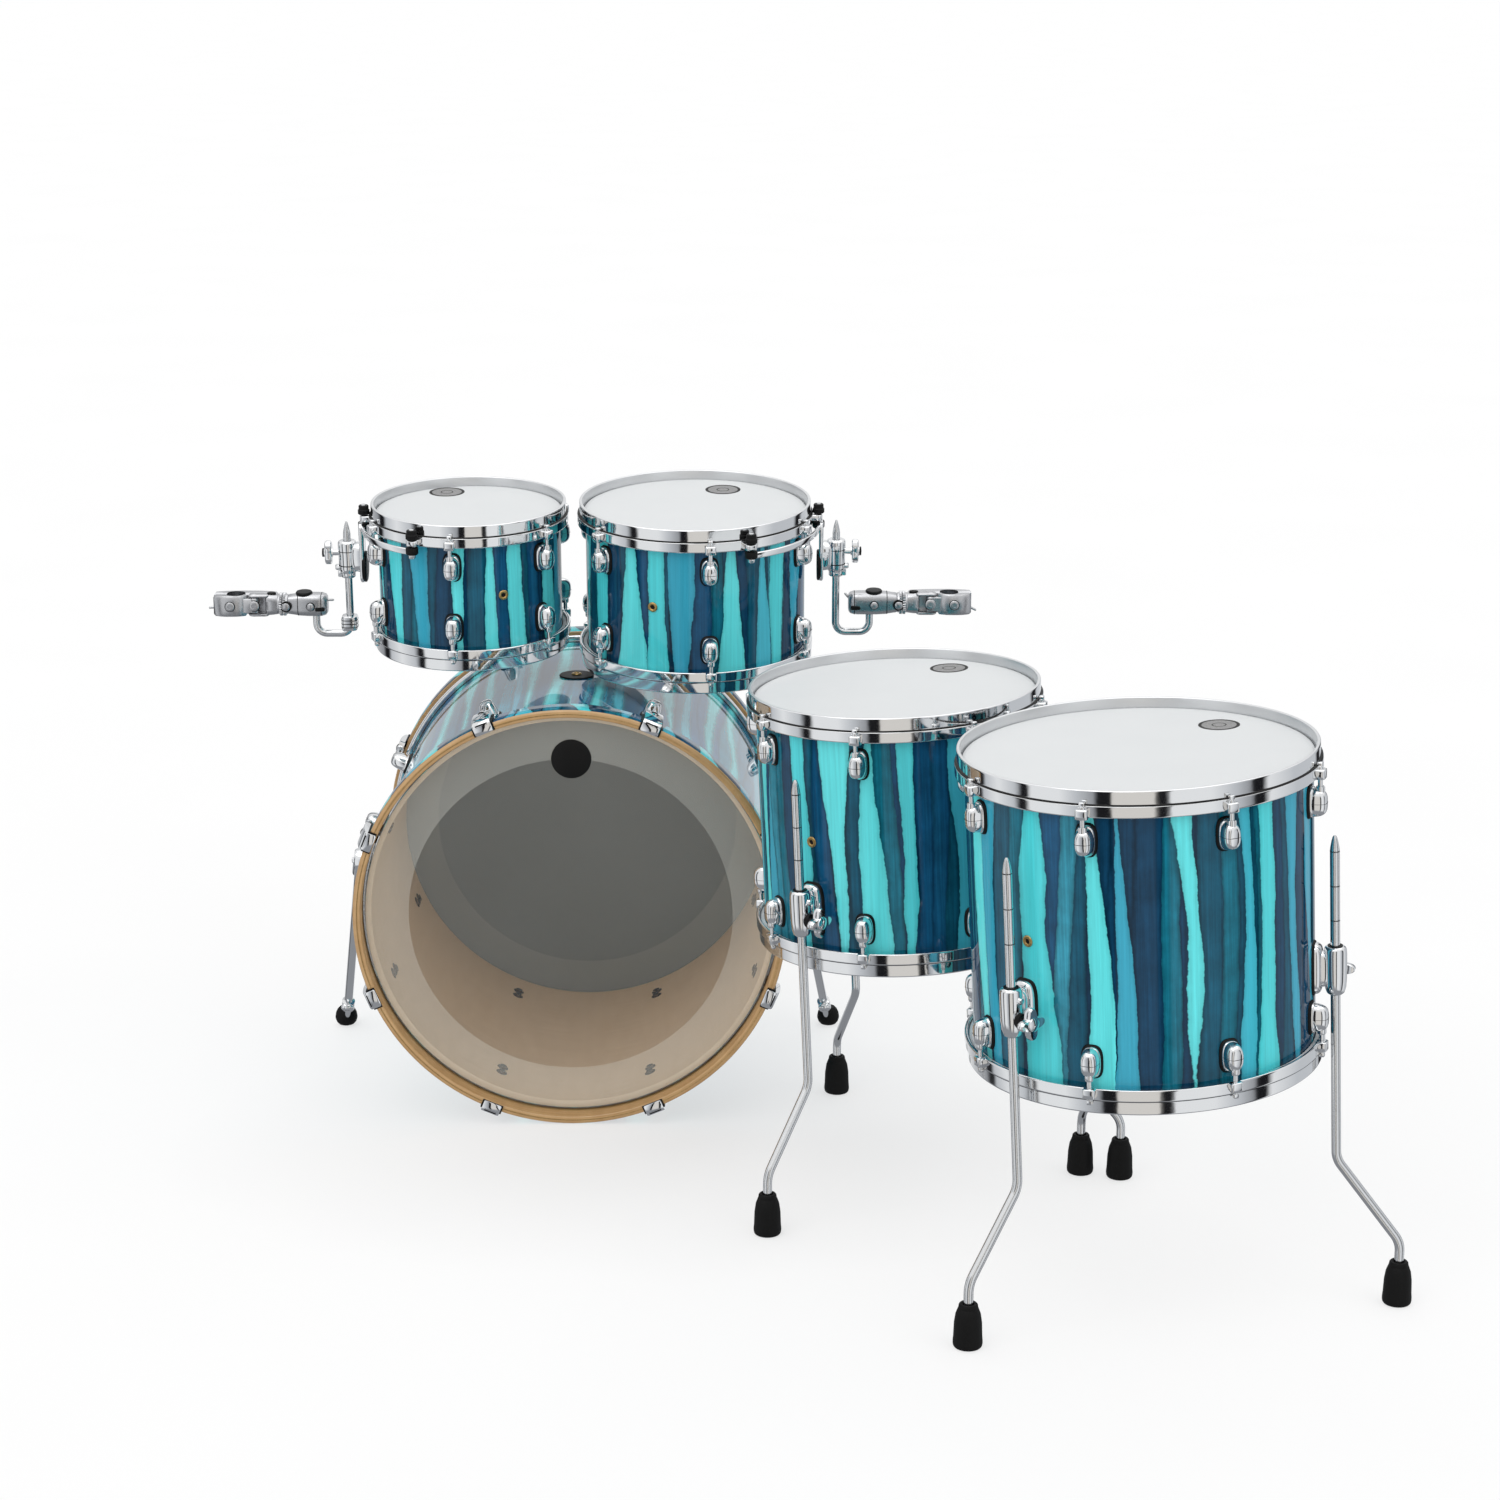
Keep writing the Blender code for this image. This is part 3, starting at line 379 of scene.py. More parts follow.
def pebble(surface: Surface, place: Array, size: Point, exponent: float, crown: float, sides: int = 28,
           steps: int = 8, sunk: float = 0.0) -> None:
    """Add a domed pebble that stands out along +X, with its outline in the YZ plane.

    The outline is a superellipse |y/a|^n + |z/b|^n = 1. From base to crown it shrinks by
    cos(t)^crown while it rises by depth * sin(t).

    Args:
        surface: surface to add to.
        place: frame of the pebble.
        size: half width along Y, half height along Z and height along X, in millimetres.
        exponent: superellipse exponent.
        crown: flatness of the crown; smaller is flatter.
        sides: divisions of the outline.
        steps: divisions from base to crown.
        sunk: depth of a straight skirt below the base, in millimetres.
    """
    half_width, half_height, depth, skirt = (value * MM for value in (*size, sunk))
    across, upward = superellipse(exponent, sides)
    outline = np.stack((half_width * across, half_height * upward), 1)
    rise = np.linspace(0.0, math.pi / 2.0, steps + 1)[:-1]
    shrink = np.concatenate(([1.0], np.cos(rise) ** crown, [0.12]))
    height = np.concatenate(([-skirt], depth * np.sin(rise), [depth]))
    if skirt <= 0.0:
        shrink, height = shrink[1:], height[1:]
    block = np.empty((len(shrink), sides, 3))
    block[..., 0] = height[:, None]
    block[..., 1:] = shrink[:, None, None] * outline[None]
    surface.grid(applied(place, block), caps=True)


def slab(surface: Surface, outline: Array, low: float, high: float, place: Array, bevel: float) -> None:
    """Add a bevelled plate over an outline in the XY plane, from low to high along Z in millimetres.

    The end rings are the outline shrunk towards its centre by the bevel, also in millimetres.
    """
    low, high, bevel = low * MM, high * MM, bevel * MM
    centre = outline.mean(axis=0)
    reach = np.abs(outline - centre).max(axis=0)
    inner = centre + (outline - centre) * (1.0 - bevel / np.maximum(reach, bevel * 2.0))
    rings = ((inner, low), (outline, low + bevel), (outline, high - bevel), (inner, high))
    block = np.stack([np.column_stack((ring, np.full(len(ring), level))) for ring, level in rings])
    surface.grid(applied(place, block), caps=True)


def cast_bar(surface: Surface, stations: list[Point], place: Array, exponent: float, sides: int = 36,
             slot: int = 0) -> None:
    """Add a cast bar along +X whose sections are superellipses |y/a|^n + |z/b|^n = 1.

    Args:
        surface: surface to add to.
        stations: (x, a, b) of each section, in millimetres.
        place: frame of the bar.
        exponent: superellipse exponent.
        sides: divisions round the bar.
        slot: material index.
    """
    along, half_y, half_z = (np.array(stations) * MM).T
    across, upward = superellipse(exponent, sides)
    block = np.stack((np.repeat(along[:, None], sides, 1), half_y[:, None] * across, half_z[:, None] * upward), -1)
    surface.grid(applied(place, block), caps=True, slot=slot)


def rectangle_mm(half_x: float, half_y: float, radius: float, steps: int = 4) -> Array:
    """Return the outline of a rectangle whose corners are quarter circles, from sizes in millimetres."""
    half_x, half_y, radius = half_x * MM, half_y * MM, radius * MM
    turns = np.radians(np.linspace(0.0, 90.0, steps + 1))
    corners = []
    for quarter, (sx, sy) in enumerate(((1, 1), (-1, 1), (-1, -1), (1, -1))):
        angle = turns + quarter * math.pi / 2.0
        centre = np.array((sx * (half_x - radius), sy * (half_y - radius)))
        corners.append(centre + radius * np.stack((np.cos(angle), np.sin(angle)), 1))
    return np.concatenate(corners)


def lobed(radius: float, depth: float, lobes: int, steps: int = 48) -> Array:
    """Return the outline of a wing knob: radius * (1 + depth * cos(lobes * angle)), with a radius in millimetres."""
    angles = steps_round(steps)
    reach = radius * MM * (1.0 + depth * np.cos(lobes * angles))
    return np.stack((reach * np.cos(angles), reach * np.sin(angles)), 1)


# Finishes

class Nodes:
    """A small helper that adds and joins shader nodes."""

    def __init__(self, name: str) -> None:
        """Start a material with a Principled shader."""
        self.material = bpy.data.materials.new(name)
        self.material.use_nodes = True
        self.tree = self.material.node_tree
        self.shader = self.tree.nodes["Principled BSDF"]
        self.output = self.tree.nodes["Material Output"]

    def add(self, kind: str, **values: object) -> bpy.types.Node:
        """Add a node and set its properties or, by name, its inputs."""
        node = self.tree.nodes.new(kind)
        for key, value in values.items():
            if key in node.inputs:
                node.inputs[key].default_value = value
            else:
                setattr(node, key, value)
        return node

    def join(self, source: Socket, target: Socket) -> None:
        """Link two sockets."""
        self.tree.links.new(source, target)

    def set(self, **values: object) -> None:
        """Set sockets of the Principled shader; underscores stand for spaces."""
        for key, value in values.items():
            self.shader.inputs[key.replace("_", " ")].default_value = value

    def math(self, operation: str, first: object, second: object, third: object = 0.0) -> Socket:
        """Add a Math node whose inputs are sockets or numbers, and return its output."""
        node = self.add("ShaderNodeMath", operation=operation)
        for index, value in enumerate((first, second, third)):
            if isinstance(value, Socket):
                self.join(value, node.inputs[index])
            else:
                node.inputs[index].default_value = value
        return node.outputs[0]

    def feed(self, source: Socket, name: str = "Base Color") -> None:
        """Link a socket to one of the Principled shader's own."""
        self.join(source, self.shader.inputs[name])

    def object_point(self) -> Socket:
        """Return Object coordinates."""
        return self.add("ShaderNodeTexCoord").outputs["Object"]

    def uv(self) -> Socket:
        """Return the piece's own UV."""
        return self.add("ShaderNodeTexCoord").outputs["UV"]

    def parts(self, vector: Socket) -> tuple[Socket, Socket]:
        """Return the first two parts of a vector."""
        split = self.add("ShaderNodeSeparateXYZ")
        self.join(vector, split.inputs["Vector"])
        return split.outputs["X"], split.outputs["Y"]

    def chances(self, colour: Socket) -> bpy.types.bpy_prop_collection:
        """Return the three numbers of a random colour."""
        split = self.add("ShaderNodeSeparateColor")
        self.join(colour, split.inputs["Color"])
        return split.outputs

    def stretched(self, vector: Socket, scale: Point) -> Socket:
        """Return a vector with each part times its own scale."""
        node = self.add("ShaderNodeMapping")
        node.inputs["Scale"].default_value = scale
        self.join(vector, node.inputs["Vector"])
        return node.outputs["Vector"]

    def blend(self, factor: Socket, first: object, second: object) -> Socket:
        """Return a colour between two, which are sockets or plain colours."""
        node = self.add("ShaderNodeMix", data_type="RGBA")
        self.join(factor, node.inputs["Factor"])
        for index, value in ((6, first), (7, second)):
            if isinstance(value, Socket):
                self.join(value, node.inputs[index])
            else:
                node.inputs[index].default_value = (*value, 1.0)
        return node.outputs[2]

    def noise(self, vector: Socket, scale: float, detail: float, roughness: float = 0.5) -> Socket:
        """Add fractal noise over a vector and return its value."""
        node = self.add("ShaderNodeTexNoise", Scale=scale, Detail=detail, Roughness=roughness)
        self.join(vector, node.inputs["Vector"])
        return node.outputs["Fac"]

    def ramp(self, value: Socket, stops: Sequence[tuple[float, Colour]], constant: bool = False) -> Socket:
        """Add a colour ramp with the given stops and return its colour."""
        node = self.add("ShaderNodeValToRGB")
        band = node.color_ramp
        band.interpolation = "CONSTANT" if constant else "LINEAR"
        while len(band.elements) < len(stops):
            band.elements.new(0.5)
        for element, (position, colour) in zip(band.elements, stops):
            element.position = position
            element.color = (*colour, 1.0)
        self.join(value, node.inputs["Fac"])
        return node.outputs["Color"]

    def plane(self, across: Socket, along: Socket, across_scale: float, along_scale: float, seed: float) -> Socket:
        """Return the vector (across * its scale, along * its scale, seed)."""
        node = self.add("ShaderNodeCombineXYZ", Z=seed)
        self.join(self.math("MULTIPLY", across, across_scale), node.inputs["X"])
        self.join(self.math("MULTIPLY", along, along_scale), node.inputs["Y"])
        return node.outputs["Vector"]

    def remap(self, value: Socket, from_low: float, from_high: float, to_low: float, to_high: float) -> Socket:
        """Return a value carried from one range to another, and held at the ends."""
        node = self.add("ShaderNodeMapRange", clamp=True)
        self.join(value, node.inputs["Value"])
        limits = {"From Min": from_low, "From Max": from_high, "To Min": to_low, "To Max": to_high}
        for name, number in limits.items():
            node.inputs[name].default_value = number
        return node.outputs["Result"]

    def scaled(self, colour: Socket, factor: Socket) -> Socket:
        """Return a colour times a number."""
        node = self.add("ShaderNodeVectorMath", operation="SCALE")
        self.join(colour, node.inputs[0])
        self.join(factor, node.inputs["Scale"])
        return node.outputs["Vector"]

    def bump(self, height: Socket, distance: float, strength: float) -> None:
        """Bump the shader, where distance is the depth in metres of a height of 1."""
        node = self.add("ShaderNodeBump", Distance=distance, Strength=strength)
        self.join(height, node.inputs["Height"])
        self.join(node.outputs["Normal"], self.shader.inputs["Normal"])


def grey(value: float) -> Colour:
    """Return a neutral colour."""
    return (value, value, value)


@dataclass(frozen=True)
class Chrome:
    """Bright plating with a faint waviness and fine polishing marks."""

    name: str = "chrome_plating"
    tint: Colour = (0.79, 0.80, 0.81)
    roughness: float = 0.06
    polish: float = 420.0
    waves: float = 55.0

    def make(self) -> bpy.types.Material:
        """Build the material; polish and waves are noise scales per metre."""
        nodes = Nodes(self.name)
        nodes.set(Base_Color=(*self.tint, 1.0), Metallic=1.0)
        point = nodes.object_point()
        marks = nodes.noise(point, self.polish, 4.0, 0.6)
        nodes.feed(nodes.remap(marks, 0.0, 1.0, self.roughness * 0.7, self.roughness * 1.5), "Roughness")
        nodes.bump(nodes.noise(point, self.waves, 2.0), 0.00012, 0.6)
        return nodes.material


@dataclass(frozen=True)
class StripedLacquer:
    """Deep gloss lacquer over upright brush strokes of turquoise and blue on dark stripes.

    U runs round the shell and V along its axis, both in metres. Both layers are cells of
    one-dimensional Voronoi patterns over U, whose place is bent by a lean, a slow wobble and a
    ragged edge. A stroke fills the middle of its cell, and its half width changes evenly along V,
    which makes wedges. A darker outline follows each stroke. A higher soft blurs the strokes'
    edges, and a higher fuller widens them all. Half widths are shares of a cell, scales are
    those of noise over U and V, and every other size is in metres.
    """

    name: str
    seed: float
    lean: float = 0.0
    stroke_cell: float = 0.048
    gloss: Pair = (0.75, 1.4)
    middle: float = 0.16
    soft: float = 0.0
    fuller: float = 0.0
    under_cell: float = 0.024
    wobble: float = 0.070
    ragged: float = 0.0075
    thinnest: float = -0.03
    swell: float = 0.34
    chance_width: float = 0.13
    wedge: float = 0.42
    bare_share: float = 0.04
    edge: Pair = (0.012, 0.006)
    wobble_scale: Pair = (7.0, 1.9)
    ragged_scale: Pair = (30.0, 40.0)
    swell_scale: Pair = (3.7, 6.0)
    streak_scale: Pair = (300.0, 6.0)
    cloud_scale: Pair = (30.0, 24.0)
    wave_scale: Pair = (20.0, 14.0)

    under_tones = (
        (0.00, (0.006, 0.050, 0.110)), (0.28, (0.006, 0.088, 0.150)), (0.54, (0.007, 0.078, 0.175)),
        (0.76, (0.008, 0.150, 0.220)), (0.90, (0.030, 0.250, 0.350)))
    stroke_tones = (
        (0.00, (0.045, 0.370, 0.520)), (0.22, (0.080, 0.640, 0.690)), (0.45, (0.125, 0.730, 0.760)),
        (0.84, (0.060, 0.480, 0.610)))

    def _bent(self, nodes: Nodes, u: Socket, v: Socket, seed: float, lean: float) -> Socket:
        """Return U bent by a lean, a slow wobble and a ragged edge."""
        wobble = nodes.math("SUBTRACT", nodes.noise(nodes.plane(u, v, *self.wobble_scale, seed), 1.0, 1.0), 0.5)
        ragged = nodes.math("SUBTRACT", nodes.noise(nodes.plane(u, v, *self.ragged_scale, seed), 1.0, 7.0, 0.66), 0.5)
        place = nodes.math("MULTIPLY_ADD", wobble, self.wobble, u)
        place = nodes.math("MULTIPLY_ADD", ragged, self.ragged, place)
        return nodes.math("MULTIPLY_ADD", v, lean, place)

    def _cells(self, nodes: Nodes, place: Socket, size: float, seed: float, feature: str = "F1") -> bpy.types.Node:
        """Return a one-dimensional Voronoi node whose cells are about size wide."""
        cell = nodes.add("ShaderNodeTexVoronoi", voronoi_dimensions="1D", feature=feature, Scale=1.0, Randomness=0.8)
        nodes.join(nodes.math("MULTIPLY_ADD", place, 1.0 / size, seed * 7.0), cell.inputs["W"])
        return cell

    def _under(self, nodes: Nodes, u: Socket, v: Socket) -> Socket:
        """Return the colour of the dark stripes, with a darker seam between two."""
        place = self._bent(nodes, u, v, self.seed + 4.0, -0.6 * self.lean)
        chance = nodes.chances(self._cells(nodes, place, self.under_cell, self.seed).outputs["Color"])
        seam = self._cells(nodes, place, self.under_cell, self.seed, "DISTANCE_TO_EDGE").outputs["Distance"]
        tone = nodes.ramp(chance[0], self.under_tones, constant=True)
        return nodes.scaled(tone, nodes.remap(seam, 0.0, 0.16, 0.55, 1.0))

    def _strokes(self, nodes: Nodes, u: Socket, v: Socket) -> tuple[Socket, Socket]:
        """Return the distance outside the nearest stroke, which is negative inside, and its colour."""
        place = self._bent(nodes, u, v, self.seed, self.lean)
        stroke = self._cells(nodes, place, self.stroke_cell, self.seed + 1.3)
        chance = nodes.chances(stroke.outputs["Color"])
        swell = nodes.noise(nodes.plane(stroke.outputs["W"], v, *self.swell_scale, self.seed), 1.0, 1.0)
        taper = nodes.math("MULTIPLY", nodes.math("SUBTRACT", chance[2], 0.5), nodes.math("SUBTRACT", v, self.middle))
        half = nodes.math("MULTIPLY_ADD", swell, self.swell, self.fuller + self.thinnest)
        half = nodes.math("MULTIPLY_ADD", chance[1], self.chance_width, half)
        half = nodes.math("MULTIPLY_ADD", taper, self.wedge / self.middle, half)
        gap = nodes.math("SUBTRACT", stroke.outputs["Distance"], half)
        present = nodes.math("GREATER_THAN", chance[0], self.bare_share)
        gap = nodes.math("ADD", gap, nodes.math("SUBTRACT", 1.0, present))
        return gap, nodes.ramp(chance[0], self.stroke_tones, constant=True)

    def make(self) -> bpy.types.Material:
        """Build the material: both layers with brush streaks and clouds, under a clear coat."""
        nodes = Nodes(self.name)
        u, v = nodes.parts(nodes.uv())
        under = self._under(nodes, u, v)
        gap, paint = self._strokes(nodes, u, v)
        lift = 1.0 + 7.0 * self.soft
        under = nodes.scaled(under, nodes.remap(gap, 0.0, 0.10, 0.50 * lift, lift))
        streaks = nodes.noise(nodes.plane(u, v, *self.streak_scale, self.seed), 1.0, 4.0, 0.65)
        cloud = nodes.noise(nodes.plane(u, v, *self.cloud_scale, self.seed), 1.0, 4.0, 0.6)
        under = nodes.scaled(under, nodes.math("MULTIPLY", nodes.remap(streaks, 0.25, 0.75, 0.62, 1.30),
                                               nodes.remap(cloud, 0.25, 0.75, 0.70, 1.25)))
        paint = nodes.scaled(paint, nodes.math("MULTIPLY", nodes.remap(streaks, 0.25, 0.75, 0.82, 1.08),
                                               nodes.remap(gap, -0.10, 0.0, 1.05, 0.82)))
        covered = nodes.remap(gap, -self.edge[0] - self.soft, self.edge[1] + self.soft, 1.0, 0.0)
        nodes.feed(nodes.blend(covered, under, paint))
        nodes.set(Roughness=0.30, Coat_Weight=self.gloss[0], Coat_IOR=self.gloss[1], Coat_Roughness=0.03,
                  Specular_IOR_Level=0.0)
        nodes.bump(nodes.noise(nodes.plane(u, v, *self.wave_scale, self.seed), 1.0, 2.0), 0.0006, 0.35)
        return nodes.material


@dataclass(frozen=True)
class Maple:
    """Clear-lacquered maple with fine grain that follows U, the way round the ring."""

    name: str
    light: Colour
    dark: Colour
    roughness: float = 0.25
    coat: float = 0.6
    grain_scale: Point = (9.0, 420.0, 1.0)
    figure_scale: Point = (60.0, 14.0, 1.0)

    def make(self) -> bpy.types.Material:
        """Build the material."""
        nodes = Nodes(self.name)
        uv = nodes.uv()
        grain = nodes.noise(nodes.stretched(uv, self.grain_scale), 1.0, 5.0, 0.6)
        figure = nodes.noise(nodes.stretched(uv, self.figure_scale), 1.0, 2.0)
        mix = nodes.math("MULTIPLY_ADD", figure, 0.35, nodes.math("MULTIPLY", grain, 0.65))
        nodes.feed(nodes.ramp(mix, [(0.30, self.dark), (0.68, self.light)]))
        nodes.set(Roughness=self.roughness, Coat_Weight=self.coat, Coat_Roughness=0.06)
        nodes.bump(grain, 0.00008, 0.3)
        return nodes.material


@dataclass(frozen=True)
class CoatedFilm:
    """White playing film with a fine sprayed texture."""

    name: str = "coated_white_film"
    dark: Colour = (0.66, 0.68, 0.69)
    light: Colour = (0.72, 0.735, 0.74)
    speckle_scale: float = 900.0
    cloud_scale: float = 14.0

    def make(self) -> bpy.types.Material:
        """Build the material; both scales are of noise per metre."""
        nodes = Nodes(self.name)
        point = nodes.object_point()
        speckle = nodes.noise(point, self.speckle_scale, 4.0, 0.7)
        cloud = nodes.noise(point, self.cloud_scale, 2.0)
        tone = nodes.math("MULTIPLY_ADD", cloud, 0.05, nodes.math("MULTIPLY", speckle, 0.03))
        nodes.feed(nodes.ramp(tone, [(0.0, self.dark), (0.09, self.light)]))
        nodes.set(Roughness=0.48, Specular_IOR_Level=0.45)
        nodes.bump(speckle, 0.00006, 0.5)
        return nodes.material


@dataclass(frozen=True)
class SmokedFilm:
    """Smoky film: it lets light through, dims it, and adds a soft haze of its own."""

    name: str
    tint: Colour
    haze: Colour
    cover: float
    unevenness: float = 0.06

    def make(self) -> bpy.types.Material:
        """Build the material."""
        nodes = Nodes(self.name)
        nodes.set(Base_Color=(*self.haze, 1.0), Roughness=0.32, Specular_IOR_Level=0.4)
        clear = nodes.add("ShaderNodeBsdfTransparent")
        clear.inputs["Color"].default_value = (*self.tint, 1.0)
        cloud = nodes.noise(nodes.object_point(), 5.0, 2.0)
        amount = nodes.math("MULTIPLY_ADD", cloud, self.unevenness, self.cover - self.unevenness / 2.0)
        mix = nodes.add("ShaderNodeMixShader")
        nodes.join(amount, mix.inputs["Fac"])
        nodes.join(clear.outputs["BSDF"], mix.inputs[1])
        nodes.join(nodes.shader.outputs["BSDF"], mix.inputs[2])
        nodes.join(mix.outputs["Shader"], nodes.output.inputs["Surface"])
        return nodes.material


@dataclass(frozen=True)
class Rubber:
    """Moulded black rubber or plastic with a fine grain."""

    name: str
    tone: float = 0.0045
    roughness: float = 0.60
    specular: float = 0.14
    grain_scale: float = 650.0

    def make(self) -> bpy.types.Material:
        """Build the material; the scale is of noise per metre."""
        nodes = Nodes(self.name)
        grain = nodes.noise(nodes.object_point(), self.grain_scale, 4.0, 0.65)
        nodes.feed(nodes.ramp(grain, [(0.25, grey(self.tone * 0.7)), (0.75, grey(self.tone * 1.6))]))
        nodes.set(Roughness=self.roughness, Specular_IOR_Level=self.specular)
        nodes.bump(grain, 0.00010, 0.5)
        return nodes.material


@dataclass(frozen=True)
class Bronze:
    """Aged bronze of the small air vents."""

    name: str = "vent_bronze"
    dark: Colour = (0.33, 0.19, 0.06)
    light: Colour = (0.62, 0.43, 0.18)
    patina_scale: float = 600.0

    def make(self) -> bpy.types.Material:
        """Build the material; the scale is of noise per metre."""
        nodes = Nodes(self.name)
        patina = nodes.noise(nodes.object_point(), self.patina_scale, 4.0, 0.6)
        nodes.feed(nodes.ramp(patina, [(0.3, self.dark), (0.7, self.light)]))
        nodes.set(Metallic=1.0, Roughness=0.28)
        return nodes.material


@dataclass
class Palette:
    """Every finish of the pack, built once."""

    chrome: bpy.types.Material
    steel: bpy.types.Material
    cast: bpy.types.Material
    lip: bpy.types.Material
    hoop_maple: bpy.types.Material
    shell_maple: bpy.types.Material
    coated: bpy.types.Material
    smoked: bpy.types.Material
    smoked_edge: bpy.types.Material
    rear_film: bpy.types.Material
    rear_edge: bpy.types.Material
    rubber: bpy.types.Material
    gasket: bpy.types.Material
    bronze: bpy.types.Material
    screw: bpy.types.Material
    mark: bpy.types.Material
    mark_field: bpy.types.Material

    @classmethod
    def build(cls) -> "Palette":
        """Build the finishes."""
        return cls(
            chrome=Chrome().make(),
            steel=Chrome("leg_steel", (0.72, 0.73, 0.74), 0.14).make(),
            cast=Chrome("cast_grey", (0.50, 0.505, 0.52), 0.27).make(),
            lip=Chrome("hoop_lip", (0.70, 0.71, 0.72), 0.34).make(),
            hoop_maple=Maple("hoop_maple", (0.56, 0.35, 0.155), (0.40, 0.225, 0.085)).make(),
            shell_maple=Maple("inner_maple", (0.74, 0.61, 0.46), (0.64, 0.505, 0.36), 0.45, 0.1).make(),
            coated=CoatedFilm().make(),
            smoked=SmokedFilm("smoked_film", (0.975, 0.97, 0.965), (0.40, 0.41, 0.41), 0.05).make(),
            smoked_edge=SmokedFilm("smoked_film_edge", (0.995, 0.993, 0.985), (0.72, 0.72, 0.68), 0.14).make(),
            rear_film=SmokedFilm("rear_film", (0.46, 0.48, 0.475), (0.165, 0.175, 0.17), 0.50).make(),
            rear_edge=SmokedFilm("rear_film_edge", (0.50, 0.515, 0.50), (0.23, 0.235, 0.22), 0.50).make(),
            rubber=Rubber("foot_rubber").make(),
            # This black also serves as painted shade in grooves and a slot.
            gasket=Rubber("black_gasket_and_shade", roughness=0.45, specular=0.16).make(),
            bronze=Bronze().make(),
            screw=Chrome("screw_steel", (0.20, 0.20, 0.21), 0.22).make(),
            mark=Rubber("printed_mark", 0.035, specular=0.08).make(),
            mark_field=Rubber("printed_mark_field", 0.26, specular=0.08).make(),
        )


# Hardware shared by the drums

class Fittings:
    """Small parts that several drums share, built in a drum's own frame."""

    @staticmethod
    def lug(chrome: Surface, black: Surface, place: Array, size: Point, rod_out: float) -> None:
        """Add one lug at a frame whose +X points out of the shell and whose +Z runs to the rod.

        Args:
            chrome: surface of the plated parts.
            black: surface of the gasket.
            place: frame at the lug's centre on the shell.
            size: half width, half height and projection, in millimetres.
            rod_out: distance of the tension rod from the shell, in metres.
        """
        half_width, half_height, reach = size
        pebble(black, place, (half_width + 1.9, half_height + 2.1, 4.2), 3.0, 0.22, sunk=2.5, steps=3)
        pebble(chrome, place @ moved_mm(3.0, 0, 0), (half_width, half_height, 4.5), 2.8, 0.22, sunk=1.5, steps=4)
        middle = place @ moved_mm(5.0, 0, -0.04 * half_height)
        pebble(chrome, middle, (0.95 * half_width, 0.92 * half_height, reach - 5.0), 2.5, 0.45)
        pebble(black, middle, (0.97 * half_width, 0.75, reach - 4.7), 2.5, 0.45)
        collar = [(0.0, 0.30), (4.6, 0.30), (5.4, 0.36), (5.4, 0.93), (4.8, 1.02), (0.0, 1.02)]
        turn_mm(chrome, [(radius, share * half_height) for radius, share in collar], place @ moved(rod_out, 0, 0), 16)

    @staticmethod
    def tension_rod(surface: Surface, place: Array, top: float, bottom: float, radius: float = 2.9) -> None:
        """Add a key rod along +Z, with sizes in millimetres: square key head, washer and shank."""
        shank = [(0.0, bottom), (radius, bottom), (radius, top - 9.0)]
        head = [(4.4, top - 9.0), (4.8, top - 7.5), (4.4, top - 6.2), (3.6, top - 6.2), (3.6, top - 4.8),
                (0.0, top - 4.8)]
        turn_mm(surface, shank + head, place, 14)
        slab(surface, rectangle_mm(3.0, 3.0, 0.5, 2), top - 5.5, top, place, 0.5)

    @staticmethod
    def wing_bolt(surface: Surface, place: Array, reach: float, span: float, lobes: int) -> None:
        """Add a wing bolt along +Z, with sizes in millimetres: stem, collar and a lobed knob with a domed cap."""
        stem = [(0.0, 0.0), (4.2, 0.0), (4.2, 0.45 * reach), (6.0, 0.45 * reach), (6.4, 0.55 * reach),
                (5.2, 0.60 * reach), (0.0, 0.60 * reach)]
        turn_mm(surface, stem, place, 18)
        slab(surface, lobed(0.74 * span, 0.34, lobes), 0.52 * reach, 0.88 * reach, place, 1.4)
        dome = [(0.0, 0.84 * reach), (0.44 * span, 0.84 * reach), (0.40 * span, 0.93 * reach),
                (0.24 * span, 0.985 * reach), (0.0, reach)]
        turn_mm(surface, dome, place, 20)

    @staticmethod
    def vent(ring: Surface, hole: Surface, place: Array, radius: float = 7.0) -> None:
        """Add an air vent that stands out along +X: a rolled bronze ring about a dark hole."""
        turn = place @ turned(90.0, Axis.Y)
        angles = steps_round(10)
        section = np.stack((radius * (0.70 + 0.30 * np.cos(angles)), 0.7 + 1.4 * np.sin(angles)), 1)
        turn_mm(ring, section, turn, 28, closed=True)
        turn_mm(hole, [(0.0, -1.5), (0.62 * radius, -1.5), (0.62 * radius, 0.9), (0.0, 0.6)], turn, 20)

    @staticmethod
    def mark(dark: Surface, field_surface: Surface, place: Array, radius: float) -> None:
        """Add a plain round printed mark: a dark band and ring on a grey field."""
        for inner, outer in ((0.84, 1.00), (0.30, 0.36)):
            ring_mm(dark, (inner * radius, outer * radius), (0.0, 0.12), place, 40)
        turn_mm(field_surface, [(0.0, 0.0), (0.85 * radius, 0.0), (0.85 * radius, 0.10), (0.0, 0.10)], place, 40)


